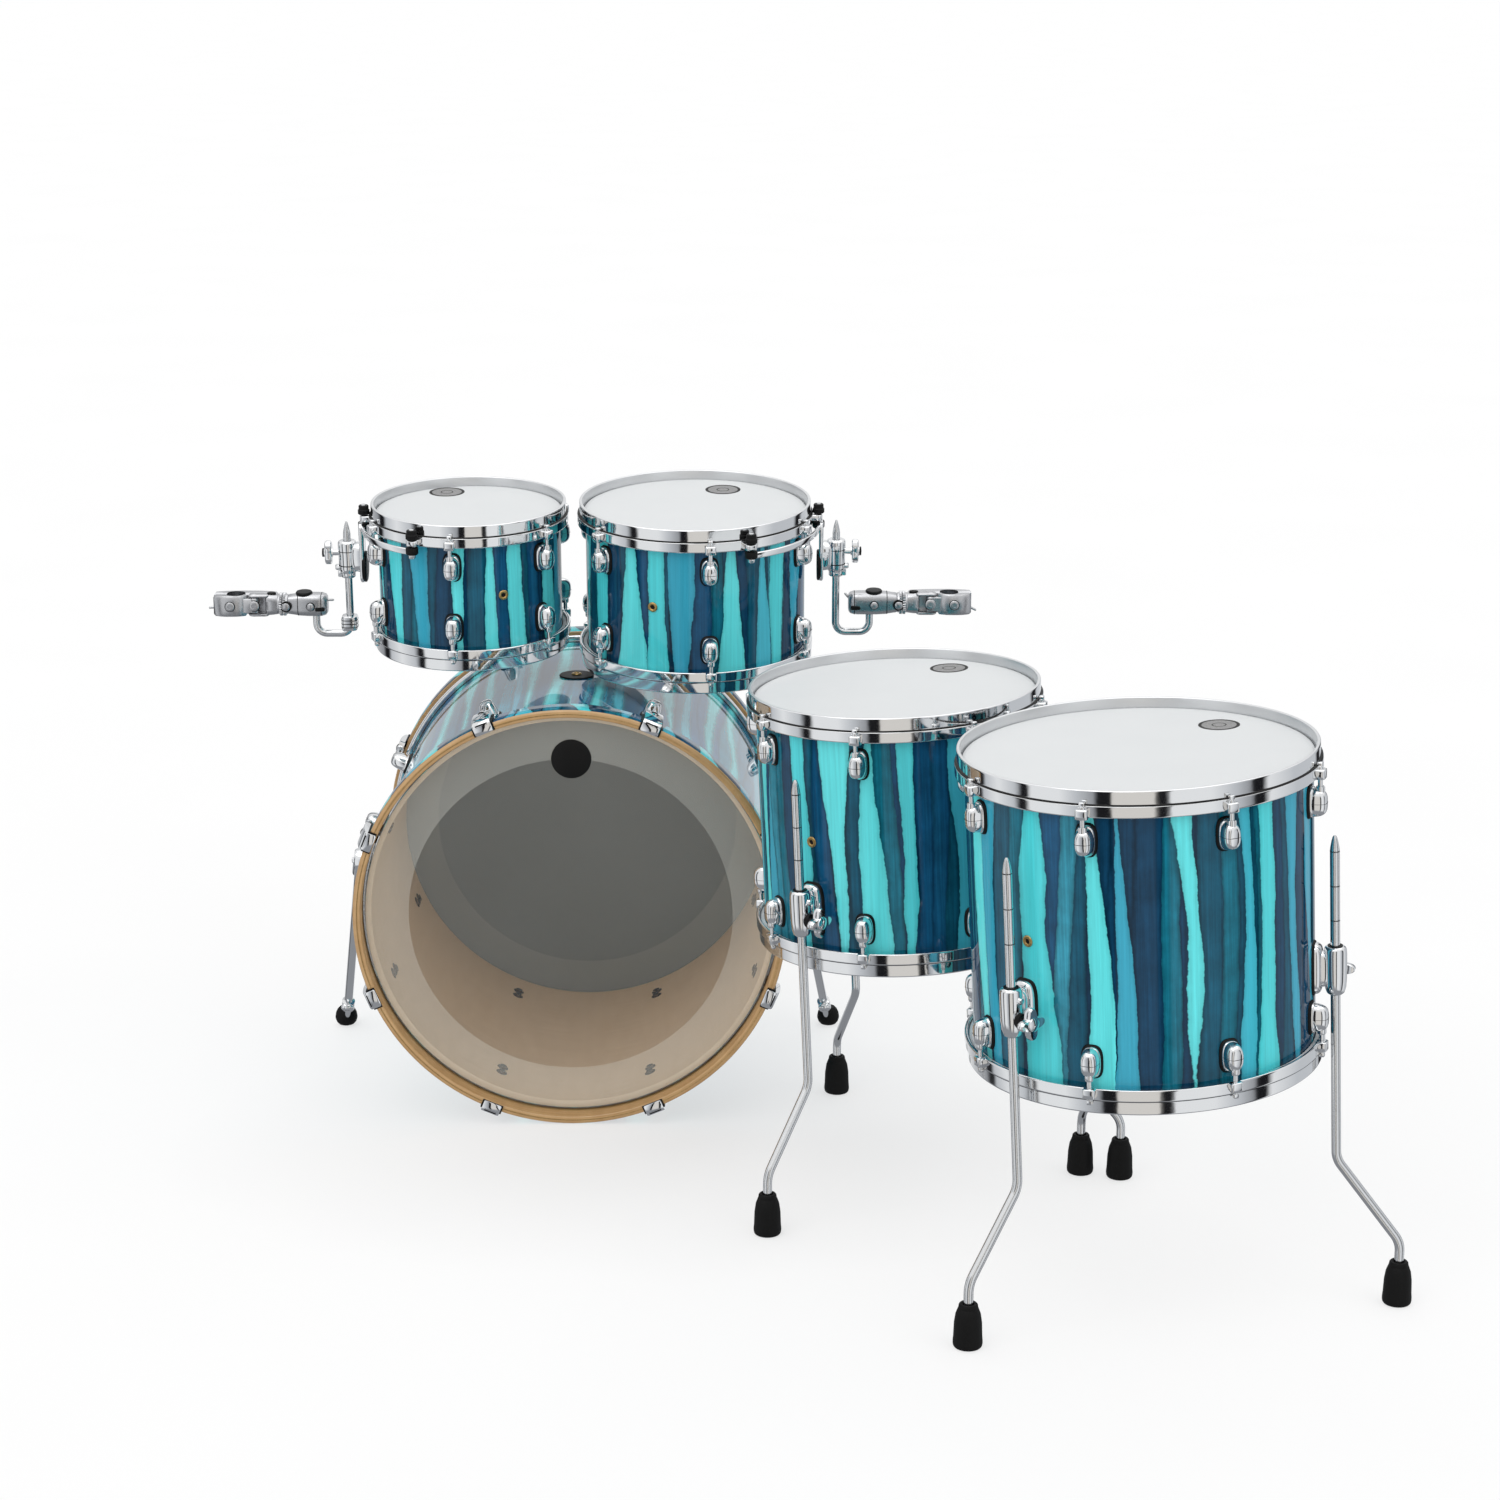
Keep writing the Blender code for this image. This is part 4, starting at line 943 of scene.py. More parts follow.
@dataclass
class Drum:
    """A drum's shell size, lug pattern and place, with what every drum is dressed with.

    Attributes:
        lugs: number of lugs at each end.
        lug_angle: angle of the first lug in the drum's frame, in degrees.
        rim: centre of the upper rim, before the layout is shifted.
        tilt: turns about X and Y, in degrees.
        seed: start of the stripes' random choices.
        lean: sideways run of the stripes for each metre of height.
        vent: angle of the air vent and its depth under the rim.
        mark: distance of the printed mark from the head's centre, and its angle.
        body: CAD body that the drum's pieces ride on.
        chamfer: bevel of the shell's edges.
        stroke_cell: width of a stroke's cell; this, gloss, soft and fuller are the lacquer's.
    """

    name: str
    diameter: float
    depth: float
    lugs: int
    lug_angle: float
    seed: float
    lean: float = 0.0
    rim: Point = (0.0, 0.0, 0.0)
    tilt: Pair = (0.0, 0.0)
    vent: Pair = (0.0, 0.0)
    mark: Pair = (0.0, 0.0)
    body: str = "pack_base"
    rim_height: float = 14.0 * MM
    wall: float = 7.0 * MM
    chamfer: float = 0.8 * MM
    lug_depth: float = 46.0 * MM
    stroke_cell: float = 0.047
    gloss: Pair = (0.75, 1.4)
    soft: float = 0.0
    fuller: float = 0.0
    frame: Array = field(default_factory=identity)

    @property
    def radius(self) -> float:
        """Outer radius of the shell."""
        return self.diameter / 2.0

    def settle(self, shift: Array) -> None:
        """Work out the drum's frame: rim place, then turns about Y and X, then down by its height."""
        turn = turned(self.tilt[1], Axis.Y) @ turned(self.tilt[0], Axis.X)
        drop = moved(0.0, 0.0, -(self.depth + self.rim_height))
        self.frame = moved(*(np.array(self.rim) + shift)) @ turn @ drop

    def end_frame(self, end: End) -> Array:
        """Return the frame of one shell edge, with +Z pointing out of the drum."""
        if end is End.TOP:
            return self.frame @ moved(0.0, 0.0, self.depth)
        return self.frame @ turned(180.0, Axis.X)

    def keep(self, piece: bpy.types.Object, slot: str, *nodes: str, body: str | None = None) -> None:
        """Let a piece ride on a body and stand for CAD nodes.

        Args:
            piece: the finished piece.
            slot: name of its slot; not used.
            *nodes: CAD nodes that it replaces.
            body: the body that it rides on, which is the drum's own unless it is named.
        """
        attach(piece, body or self.body)
        if nodes:
            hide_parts(*nodes)
        LOG.info("%s", piece.name)

    def shell(self, palette: Palette) -> None:
        """Make the shell: outer wall with UV in metres, bevelled edges and a maple inner wall.

        The outer wall is (R cos t, R sin t, z), with U = R t counted from +Y and V = z.
        """
        surface = Surface()
        radius, depth = self.radius, self.depth
        chamfer, bearing = self.chamfer, 0.8 * self.wall
        inner, edge = radius - self.wall, radius - chamfer
        angles = np.radians(90.0) + TAU * np.arange(SHELL_STEPS + 1) / SHELL_STEPS
        levels = np.array([0.0, chamfer, *np.linspace(6.0 * MM, depth - 6.0 * MM, 9), depth - chamfer, depth])
        radii = np.full(len(levels), radius)
        radii[0] = radii[-1] = edge
        inside = (np.array([edge, inner, inner, edge]), np.array([depth, depth - bearing, bearing, 0.0]))
        for slot, (rows, heights) in enumerate(((radii, levels), inside)):
            surface.grid(applied(self.frame, turned_rows(rows, heights, angles[:-1])),
                         uv=uv_rows(radius * (angles - angles[0]), heights), slot=slot)
        finish = StripedLacquer(self.name + "_stripes", self.seed, self.lean, self.stroke_cell, self.gloss,
                                middle=depth / 2.0, soft=self.soft, fuller=self.fuller).make()
        made = welded(surface.piece(self.name + "_striped_shell", finish, palette.shell_maple))
        self.keep(made, "blue_lacquer", self.name + "_shell")


@dataclass
class Tom(Drum):
    """A tom: die-cast hoops, coated heads, pebble lugs and an air vent.

    The first lip_faces faces of a hoop's profile are its inner wall and lip, whose plating is duller.
    """

    lip_faces = 5

    def hoop(self, palette: Palette, end: End, ears: tuple[float, ...]) -> None:
        """Make one hoop with its ears, tension rods and mount ears."""
        place = self.end_frame(end)
        radius = self.radius
        profile = np.array([
            (3.9, -5.7), (3.9, 12.8), (4.3, 13.6), (5.0, 14.0), (6.9, 14.0), (7.8, 13.7), (8.25, 12.9),
            (8.3, 12.1), (8.3, 11.3), (8.3, -0.6), (8.3, -1.4), (8.4, -2.0), (9.0, -2.4), (10.5, -2.9), (11.1, -3.4),
            (11.3, -4.2), (11.3, -5.0), (11.3, -14.8), (11.3, -15.6), (10.9, -16.6), (10.2, -17.0), (7.6, -17.0),
            (6.8, -16.4), (6.5, -15.2), (6.5, -7.0), (6.0, -5.9),
        ]) * MM + (radius, 0.0)
        surface = Surface()
        revolve(surface, profile, place, HOOP_STEPS, closed=True)
        for index in range(self.lip_faces * HOOP_STEPS):
            surface.slots[index] = 2
        # A thin black ring on the flange's top, where it steps out from the band, is painted shade of the groove
        # there.
        groove_shade = np.array([(8.1, -2.6), (8.36, -1.5), (8.9, -1.9), (10.6, -2.5), (10.9, -3.2)]) * MM + (radius, 0.0)
        revolve(surface, groove_shade, place, HOOP_STEPS, closed=True, slot=1)
        for angle in self._rod_angles(end):
            spot = place @ turned(angle, Axis.Z) @ moved(radius + 13.0 * MM, 0, 0)
            slab(surface, rectangle_mm(6.6, 7.4, 3.0), -18.2, -6.4, spot, 1.0)
            Fittings.tension_rod(surface, spot, 1.5, 6.0 - self.lug_depth / MM)
        for angle in ears:
            spot = place @ turned(angle, Axis.Z) @ moved(radius + 15.4 * MM, 0, 0)
            slab(surface, rectangle_mm(9.0, 8.0, 5.0), -15.8, -6.9, spot, 1.2)
        word = "top" if end is End.TOP else "bottom"
        made = surface.piece(f"{self.name}_{word}_cast_hoop", palette.chrome, palette.gasket, palette.lip, sharp=50.0)
        self.keep(made, "chrome", f"{self.name}_{word}_hoop")

    def _rod_angles(self, end: End) -> list[float]:
        """Return the angles of the tension rods in an end's frame."""
        first = self.lug_angle if end is End.TOP else -self.lug_angle
        return [first + 360.0 * index / self.lugs for index in range(self.lugs)]

    def lug_set(self, palette: Palette) -> None:
        """Make the lugs of both ends and their gaskets."""
        chrome, black = Surface(), Surface()
        for end in End:
            for angle in self._rod_angles(end):
                spot = self.end_frame(end) @ turned(angle, Axis.Z) @ moved(self.radius - 0.3 * MM, 0, -self.lug_depth)
                Fittings.lug(chrome, black, spot, (11.4, 18.5, 21.0), 13.3 * MM)
        self.keep(chrome.piece(self.name + "_lugs", palette.chrome, sharp=50.0), "chrome")
        self.keep(black.piece(self.name + "_lug_gaskets", palette.gasket), "rubber")

    def heads(self, palette: Palette) -> None:
        """Make both heads: a flat film, its rounded collar and the flesh hoop under the cast hoop."""
        edge = self.radius / MM
        profile = [(0.0, 1.3), (edge - 8.0, 1.3), (edge - 2.0, 1.25), (edge + 0.8, 1.0), (edge + 1.7, 0.1),
                   (edge + 1.8, -6.0), (edge + 5.4, -6.0), (edge + 5.4, -13.4), (edge + 0.9, -13.4), (edge + 0.9, 0.2),
                   (edge - 1.0, 0.4), (0.0, 0.4)]
        for end, word in ((End.TOP, "batter"), (End.BOTTOM, "resonant")):
            surface = Surface()
            turn_mm(surface, profile, self.end_frame(end), HOOP_STEPS)
            made = surface.piece(f"{self.name}_{word}_film", palette.coated)
            self.keep(made, "coated_film", f"{self.name}_{word}_head")
        dark, middle = Surface(), Surface()
        reach, angle = self.mark
        spot = self.end_frame(End.TOP) @ turned(angle, Axis.Z) @ moved(reach, 0, 1.32 * MM)
        Fittings.mark(dark, middle, spot, 25.0)
        self.keep(dark.piece(self.name + "_mark_band", palette.mark), "coated_film")
        self.keep(middle.piece(self.name + "_mark_field", palette.mark_field), "coated_film")

    def vent_set(self, palette: Palette) -> None:
        """Make the air vent."""
        ring, hole = Surface(), Surface()
        angle, depth = self.vent
        height = self.depth + self.rim_height - depth
        spot = self.frame @ turned(angle, Axis.Z) @ moved(self.radius, 0, height)
        Fittings.vent(ring, hole, spot)
        self.keep(ring.piece(self.name + "_vent_ring", palette.bronze), "chrome")
        self.keep(hole.piece(self.name + "_vent_hole", palette.gasket), "chrome")

    def dress(self, palette: Palette, ears: tuple[float, ...] = ()) -> None:
        """Make everything that any tom has."""
        self.shell(palette)
        self.hoop(palette, End.TOP, ears)
        self.hoop(palette, End.BOTTOM, ())
        self.lug_set(palette)
        self.heads(palette)
        self.vent_set(palette)


@dataclass
class FloorTom(Tom):
    """A floor tom on three bent legs.

    Attributes:
        leg_angles: angles of the legs about the drum's axis, in degrees.
        bracket_height: height of the brackets above the shell's lower edge.
        standoff: distance of the legs from the shell.
        straight: length of a leg's upper part.
        bend_height: height of the upper bend above the floor.
        lower_bend: height of the lower bend above the floor.
        splay: level run between the two bends.
        groove_shade_depths: depths of the black rings under a leg's tip, which are painted shade of its grooves.
    """

    leg_angles: tuple[float, ...] = (-130.0, -10.0, 110.0)
    bracket_height: float = 0.10
    standoff: float = 25.0 * MM
    leg_radius: float = 5.75 * MM
    straight: float = 0.402
    bend_height: float = 0.175
    lower_bend: float = 0.078
    splay: float = 0.080
    groove_shade_depths: tuple[float, ...] = (0.018, 0.060, 0.102)

    def leg_corners(self, angle: float) -> Array:
        """Return the tip, upper bend, lower bend and end of one leg."""
        axis = self.frame[:3, 2]
        outward = turned(angle, Axis.Z)[:3, 0]
        base = applied(self.frame, outward * (self.radius + self.standoff))
        bend = base + axis * ((self.bend_height - base[2]) / axis[2])
        away = self.frame[:3, :3] @ outward
        away[2] = 0.0
        lower = bend + away / np.linalg.norm(away) * self.splay
        return np.array((bend + axis * self.straight, bend, (lower[0], lower[1], self.lower_bend),
                         (lower[0], lower[1], 14.3 * MM)))

    def legs(self, palette: Palette) -> None:
        """Make the three legs, with black rings as painted shade of their grooves, and the three feet."""
        for number, angle in enumerate(self.leg_angles, 1):
            body = f"{self.name}_leg_{number}_body"
            corners = self.leg_corners(angle)
            axis = (corners[0] - corners[1]) / self.straight
            surface = Surface()
            route = rounded_route([tuple(point) for point in corners], 30.0 * MM)
            tip = route[0] - axis * np.array((0.0, 2.0, 6.0, 12.0, 18.0))[:, None] * MM
            shares = np.array((0.25, 0.45, 0.66, 0.86, 1.0))
            radii = np.concatenate((shares, np.ones(len(route) - 1))) * self.leg_radius
            tube(surface, np.concatenate((tip, route[1:])), radii, 20)
            width, proud = 1.4, self.leg_radius / MM + 0.05
            # Thin black rings, a little proud of the leg, are painted shade of its grooves.
            for depth in self.groove_shade_depths:
                low = route[0] - axis * (depth + width * MM)
                lathe_bar(surface, low, low + axis, [(0.0, proud), (width, proud)], slot=1)
            made = surface.piece(f"{self.name}_bent_leg_{number}", palette.steel, palette.gasket, sharp=35.0)
            self.keep(made, "chrome", f"{self.name}_leg_{number}", body=body)
            self._foot(palette, corners[3], body, number)

    def _foot(self, palette: Palette, spot: Array, body: str, number: int) -> None:
        """Make one tapered rubber foot: a turned profile with a rolled base and a neck ring."""
        surface = Surface()
        profile = [(0.0, 0.0), (14.4, 0.0), (15.9, 0.7), (17.0, 2.2), (17.5, 5.0), (17.5, 8.0), (17.1, 12.0),
                   (17.0, 13.2), (16.4, 30.0), (14.8, 41.0), (12.2, 48.0), (11.6, 48.6), (11.6, 49.6), (11.2, 52.6),
                   (10.0, 54.0), (7.2, 54.0), (6.6, 53.0), (6.3, 15.0), (0.0, 14.0)]
        turn_mm(surface, profile, moved(spot[0], spot[1], 0.0), 40)
        made = surface.piece(f"{self.name}_rubber_foot_{number}", palette.rubber)
        self.keep(made, "rubber", f"{self.name}_foot_{number}", body=body)

    def brackets(self, palette: Palette) -> None:
        """Make the three leg brackets: base on a gasket, sleeve about the leg, and wing bolt."""
        for number, angle in enumerate(self.leg_angles, 1):
            spot = self.frame @ turned(angle, Axis.Z) @ moved(self.radius, 0, self.bracket_height)
            chrome, black = Surface(), Surface()
            pebble(black, spot, (17.6, 33.0, 3.4), 3.6, 0.22, sunk=2.5, steps=3)
            pebble(chrome, spot @ moved_mm(2.6, 0, 0), (15.6, 30.6, 8.0), 3.4, 0.30, sunk=1.0)
            pebble(chrome, spot @ moved_mm(6.0, 0, 0), (11.5, 22.0, 14.0), 3.6, 0.25)
            sleeve = [(6.0, -30.5), (8.2, -30.5), (10.4, -28.4), (12.4, -22.0), (13.3, -12.0), (13.6, 0.0),
                      (13.6, 20.0), (13.2, 24.6), (12.0, 27.2), (9.6, 28.4), (6.0, 28.4)]
            turn_mm(chrome, sleeve, spot @ moved(self.standoff, 0, 0), 28, closed=True)
            ring_mm(black, (6.0, 9.0), (28.2, 29.4), spot @ moved(self.standoff, 0, 0), 24)
            side = spot @ moved(self.standoff, 0, -9.0 * MM) @ turned(-90.0, Axis.X)
            Fittings.wing_bolt(chrome, side @ moved_mm(0, 0, 11.0), 26.0, 20.0, 4)
            turn_mm(black, [(0.0, 11.0), (8.6, 11.0), (9.2, 12.0), (8.6, 16.6), (0.0, 16.6)], side)
            eye_bolt = side @ moved_mm(0, -24.0, 11.0)
            turn_mm(chrome, [(0.0, 0.0), (4.2, 0.0), (4.2, 5.0), (3.2, 6.4), (0.0, 6.8)], eye_bolt, 18)
            made = chrome.piece(f"{self.name}_bracket_{number}", palette.chrome, sharp=45.0)
            self.keep(made, "chrome", f"{self.name}_leg_bracket_{number}")
            self.keep(black.piece(f"{self.name}_bracket_gasket_{number}", palette.gasket), "rubber")

    def dress_floor(self, palette: Palette) -> None:
        """Make the drum, its legs and their brackets."""
        self.dress(palette)
        self.legs(palette)
        self.brackets(palette)


@dataclass
class RackTom(Tom):
    """A rack tom on its suspension mount, rod and stand clamp.

    Attributes:
        side: angle of the mount about the drum's axis, in degrees.
        standoff: distance of the rod from the shell.
        spread: angle from the mount's middle to the outer ears, in degrees.
        crossover: run of the rod's U-bend away from the drum.
        clamp_depth: depth of the clamp under the rim.
        rod_bottom: depth of the U-bend under the rim.
        elbow_block: whether a cast block covers the bend.
        reach: end of the stand clamp's jaws.
        grip_end: near end of the clamp's inner half, in millimetres.
        grip_pin: rise of the pin at that end, in millimetres.
        cap_reach: place of the black cap along the inner half.
        lever_tip: tip of the tightening lever in the clamp's frame, in millimetres.
    """

    side: float = 0.0
    standoff: float = 44.0 * MM
    spread: float = 63.0
    crossover: float = 47.5 * MM
    clamp_depth: float = 150.0 * MM
    rod_radius: float = 5.25 * MM
    rod_bottom: float = 193.0 * MM
    elbow_block: bool = False
    reach: float = 97.0 * MM
    grip_end: float = -17.0
    grip_pin: float = 0.0
    cap_reach: float = 16.0 * MM
    lever_tip: Point = (103.6, -6.0, -10.0)

    @property
    def front(self) -> float:
        """Side of the clamp frame's Y that faces the audience."""
        return 1.0 if self.side == 180.0 else -1.0

    @property
    def rod_frame(self) -> Array:
        """Frame on the rod's axis at rim height, with +X pointing away from the drum."""
        return (self.end_frame(End.TOP) @ moved(0, 0, self.rim_height) @ turned(self.side, Axis.Z)
                @ moved(self.radius + self.standoff, 0, 0))

    @property
    def clamp_frame(self) -> Array:
        """Level frame at the ratchet's centre, with +X pointing away from the drum."""
        centre = applied(self.rod_frame, np.array((self.crossover + 46.0 * MM, 0.0, -self.clamp_depth)))
        return moved(*centre) @ turned(self.side, Axis.Z)

    def mount(self, palette: Palette) -> None:
        """Make the suspension mount: arc bar, rubber bushes, plate, disc, rod socket and wing bolt."""
        place = self.end_frame(End.TOP) @ turned(self.side, Axis.Z)
        radius = self.radius
        chrome, black = Surface(), Surface()
        centre = radius + 19.0 * MM
        section = rectangle_mm(2.4, 4.4, 1.8, 3) + (centre, -23.4 * MM)
        revolve(chrome, section, place, 48, start=-self.spread, sweep=2.0 * self.spread)
        for angle in (-self.spread, 0.0, self.spread):
            spot = place @ turned(angle, Axis.Z) @ moved(centre, 0, 0)
            upper = [(0.0, -5.6), (7.2, -5.6), (8.2, -4.6), (8.2, 0.6), (7.2, 1.4), (7.0, 2.0), (7.0, 6.0), (6.2, 7.2),
                     (0.0, 7.4)]
            lower = [(0.0, -17.0), (8.2, -17.0), (8.6, -18.0), (8.6, -25.0), (7.6, -26.6), (0.0, -26.8)]
            for bush in (upper, lower):
                turn_mm(black, bush, spot)
            nut = [(0.0, -26.0), (5.2, -26.0), (5.2, -31.0), (4.0, -32.5), (0.0, -32.6)]
            turn_mm(chrome, nut, spot, 12)
            turn_mm(chrome, [(0.0, 6.8), (3.6, 6.8), (3.4, 8.6), (0.0, 9.0)], spot, 14)
        plate = place @ moved(radius + 22.6 * MM, 0, 0) @ turned(90.0, Axis.Y)
        outline = rectangle_mm(43.0, 16.5, 9.0) + (59.0 * MM, 0.0)
        slab(chrome, outline, -2.6, 3.2, plate, 1.4)
        disc = place @ moved(radius + 17.5 * MM, 0, -81.0 * MM) @ turned(90.0, Axis.Y)
        turn_mm(black, [(0.0, -0.5), (20.0, -0.5), (21.8, 0.6), (21.8, 4.2), (20.6, 5.2), (0.0, 5.2)], disc, 36)
        self._socket(chrome, black, place @ moved(radius + self.standoff, 0, -67.0 * MM))
        made = chrome.piece(self.name + "_suspension_mount", palette.chrome, sharp=45.0)
        self.keep(made, "chrome", self.name + "_mount")
        self.keep(black.piece(self.name + "_mount_bushes", palette.gasket), "rubber")

    def _socket(self, chrome: Surface, black: Surface, spot: Array) -> None:
        """Add the rod socket at its centre, with its wing bolt pointing away from the drum."""
        barrel = [(5.6, -23.0), (10.0, -23.0), (11.8, -21.4), (12.6, -16.0), (12.8, 6.0), (13.2, 10.0), (13.2, 20.0),
                  (12.2, 22.4), (10.4, 23.4), (5.6, 23.4)]
        turn_mm(chrome, barrel, spot, 28, closed=True)
        for level in (-12.0, 8.6):
            ring_mm(black, (11.0, 13.25), (level, level + 1.0), spot, 28)
        pebble(chrome, spot @ moved_mm(-20.0, 0, 0), (16.0, 21.0, 15.0), 3.2, 0.3, sunk=1.0)
        out = spot @ turned(90.0, Axis.Y)
        Fittings.wing_bolt(chrome, out @ moved_mm(-6.0, 0, 9.0), 25.0, 17.0, 2)
        turn_mm(black, [(0.0, 0.0), (6.4, 0.0), (6.0, 1.6), (0.0, 2.2)], out @ moved_mm(-6.0, 0, 33.4), 20)
        bolt = out @ moved_mm(15.0, 0, 0)
        turn_mm(chrome, [(0.0, 9.0), (4.4, 9.0), (4.4, 16.0), (3.4, 17.6), (0.0, 18.0)], bolt, 18)

    def rod(self, palette: Palette) -> None:
        """Make the rod with its pointed tip, U-bend and ring marks."""
        corners = [(0.0, 0.0, -48.0 * MM), (0.0, 0.0, -self.rod_bottom), (self.crossover, 0.0, -self.rod_bottom),
                   (self.crossover, 0.0, -self.clamp_depth + 11.5 * MM)]
        route = rounded_route(corners, 14.0 * MM)
        tip = np.array([(0.0, 0.0, -level) for level in (30.0, 33.0, 38.0, 44.0)]) * MM
        points = np.concatenate((tip, route))
        radii = np.full(len(points), self.rod_radius)
        radii[:4] = np.array((0.18, 0.40, 0.66, 0.90)) * self.rod_radius
        surface = Surface()
        tube(surface, applied(self.rod_frame, points), radii, 20)
        if self.elbow_block:
            block = self.rod_frame @ moved(1.0 * MM, 0, -self.rod_bottom + 17.0 * MM) @ turned(90.0, Axis.Y)
            cast_bar(surface, [(-10.0, 8.0, 8.0), (-9.0, 10.4, 10.4), (-6.0, 11.6, 11.4), (8.0, 11.6, 11.4),
                               (10.4, 10.6, 10.4), (11.6, 8.0, 8.0)], block, 4.0)
            for level in (-5.0, 0.0, 5.0):
                cast_bar(surface, [(level, 11.4, 11.2), (level + 0.2, 11.75, 11.55), (level + 1.2, 11.75, 11.55),
                                   (level + 1.4, 11.4, 11.2)], block, 4.0, slot=1)
        made = surface.piece(self.name + "_bent_rod", palette.steel, palette.gasket, sharp=40.0)
        self.keep(made, "chrome", self.name + "_rod", body=self.name + "_rod_body")

    def lock(self, palette: Palette) -> None:
        """Make the lock: a split collar under the socket with a key screw."""
        spot = self.rod_frame @ moved_mm(0, 0, -105.3)
        surface = Surface()
        ring = [(5.5, -4.8), (9.4, -4.8), (10.4, -3.6), (10.4, 3.6), (9.4, 4.8), (5.5, 4.8)]
        turn_mm(surface, ring, spot, 28, closed=True)
        slab(surface, rectangle_mm(4.6, 3.6, 1.2), -4.6, 4.6, spot @ moved_mm(9.6, 0, 0), 0.9)
        bolt = spot @ moved_mm(10.6, -7.6, 0) @ turned(-90.0, Axis.X)
        turn_mm(surface, [(0.0, 0.0), (2.6, 0.0), (2.6, 15.2), (0.0, 15.2)], bolt, 12)
        made = surface.piece(self.name + "_lock_collar", palette.chrome, sharp=45.0)
        self.keep(made, "chrome", self.name + "_rod_lock", body=self.name + "_lock_body")

    def holder(self, palette: Palette) -> None:
        """Make the clamp's inner half: a rounded grip about the rod, a neck and a toothed ratchet face."""
        spot = self.rod_frame @ moved(self.crossover, 0, -self.clamp_depth)
        chrome, black = Surface(), Surface()
        end = self.grip_end
        cast_bar(chrome, [(end, 6.0, 8.5), (end + 0.6, 9.0, 11.6), (end + 2.6, 11.8, 14.2), (end + 7.0, 13.8, 15.6),
                          (end + 13.0, 14.6, 16.0), (10.0, 14.8, 16.0), (22.0, 13.8, 15.4), (31.0, 12.4, 14.0),
                          (37.4, 12.2, 13.2), (38.4, 11.0, 12.0)], spot, 3.4)
        # A black slab on the grip's side is painted shade of the slot there.
        slot = rectangle_mm(6.6, 2.7, 1.4) + ((end + 10.0) * MM, 4.0 * MM * self.front)
        slab(black, slot, 0.0, 15.4, spot @ turned(-90.0 * self.front, Axis.X), 0.3)
        tip = np.array(((end + 2.0, 0.0, 6.0), (end - 8.5, 0.0, 6.0 + self.grip_pin))) * MM
        lathe_bar(chrome, *applied(spot, tip), [(0.0, 0.0), (0.0, 1.9), (9.0, 1.7), (10.5, 0.8)])
        for reach, half_y, half_z in ((end + 8.0, 14.2, 15.9), (23.5, 13.8, 15.4)):
            cast_bar(black, [(reach, half_y - 0.6, half_z - 0.6), (reach + 0.2, half_y, half_z),
                             (reach + 1.1, half_y, half_z), (reach + 1.3, half_y - 0.6, half_z - 0.6)], spot, 3.4)
        key = spot @ moved_mm(6.0, self.front * 13.6, 0) @ turned(-90.0 * self.front, Axis.X)
        turn_mm(black, [(0.0, 0.0), (6.4, 0.0), (6.4, 1.6), (0.0, 1.6)], key)
        turn_mm(chrome, [(0.0, 0.0), (5.4, 0.0), (5.4, 3.0), (4.4, 4.0), (0.0, 4.2)], key)
        self._ratchet(chrome, spot @ moved_mm(45.9, 0, 0) @ turned(-90.0, Axis.Y))
        turn_mm(black, [(0.0, 15.0), (11.6, 15.0), (11.8, 17.0), (10.6, 18.6), (0.0, 19.0)],
                spot @ moved(self.cap_reach, 0, 0), 26)
        pivot = spot @ moved_mm(40.5, self.front * 12.4, 0) @ turned(-90.0 * self.front, Axis.X)
        turn_mm(black, [(0.0, 0.0), (7.8, 0.0), (7.8, 2.8), (0.0, 2.8)], pivot, 26)
        turn_mm(chrome, [(0.0, 0.0), (5.6, 0.0), (5.6, 4.0), (4.6, 4.8), (0.0, 5.0)], pivot, 24)
        made = chrome.piece(self.name + "_rod_grip", palette.cast, sharp=45.0)
        body = self.name + "_holder_body"
        self.keep(made, "chrome", self.name + "_rod_holder", body=body)
        self.keep(black.piece(self.name + "_grip_cap", palette.gasket), "rubber", body=body)

    def _ratchet(self, surface: Surface, place: Array) -> None:
        """Add a toothed disc whose face is at the origin and whose neck runs along +Z."""
        disc = [(0.0, 0.2), (13.6, 0.2), (14.2, 0.8), (14.2, 6.6), (13.4, 7.6), (11.6, 8.2), (11.6, 12.0), (0.0, 12.0)]
        turn_mm(surface, disc, place, 32)
        slab(surface, lobed(15.7, 0.045, 28, 168), 0.3, 4.2, place, 0.4)

    def stand_clamp(self, palette: Palette) -> None:
        """Make the clamp's outer half with its fixed jaw and bolts, and the hinged jaw."""
        place = self.clamp_frame
        back = -self.front
        chrome, black = Surface(), Surface()
        self._ratchet(chrome, place @ moved_mm(0.1, 0, 0) @ turned(90.0, Axis.Y))
        cast_bar(chrome, [(6.0, 11.0, 12.0), (7.0, 12.6, 13.6), (14.0, 13.2, 14.6), (22.0, 12.6, 15.2),
                          (23.4, 11.0, 14.0)], place, 3.4)
        slab(chrome, self._jaw_outline(back, 8.0 * MM, self.reach, 0.0), -15.2, 15.2, place, 2.4)
        cheek = rectangle_mm(14.5, 9.2, 6.0) + (33.2 * MM, -back * 4.6 * MM)
        for low, high in ((-15.4, -10.9), (10.9, 15.4)):
            slab(chrome, cheek, low, high, place, 1.6)
        pin = place @ moved_mm(40.0, -back * 7.5, 0)
        turn_mm(chrome, [(0.0, -15.6), (4.4, -15.6), (4.4, -14.6), (2.9, -14.6), (2.9, 14.6), (4.4, 14.6), (4.4, 15.4),
                         (3.2, 16.2), (0.0, 16.4)], pin, 18)
        for reach in (52.0, 83.0):
            bolt = place @ moved_mm(reach, back * 14.0, 0) @ turned(-90.0 * back, Axis.X)
            turn_mm(chrome, [(0.0, 0.0), (6.2, 0.0), (6.2, 3.6), (5.2, 4.8), (0.0, 5.0)], bolt)
        cap = place @ moved_mm(16.0, 0, 14.4)
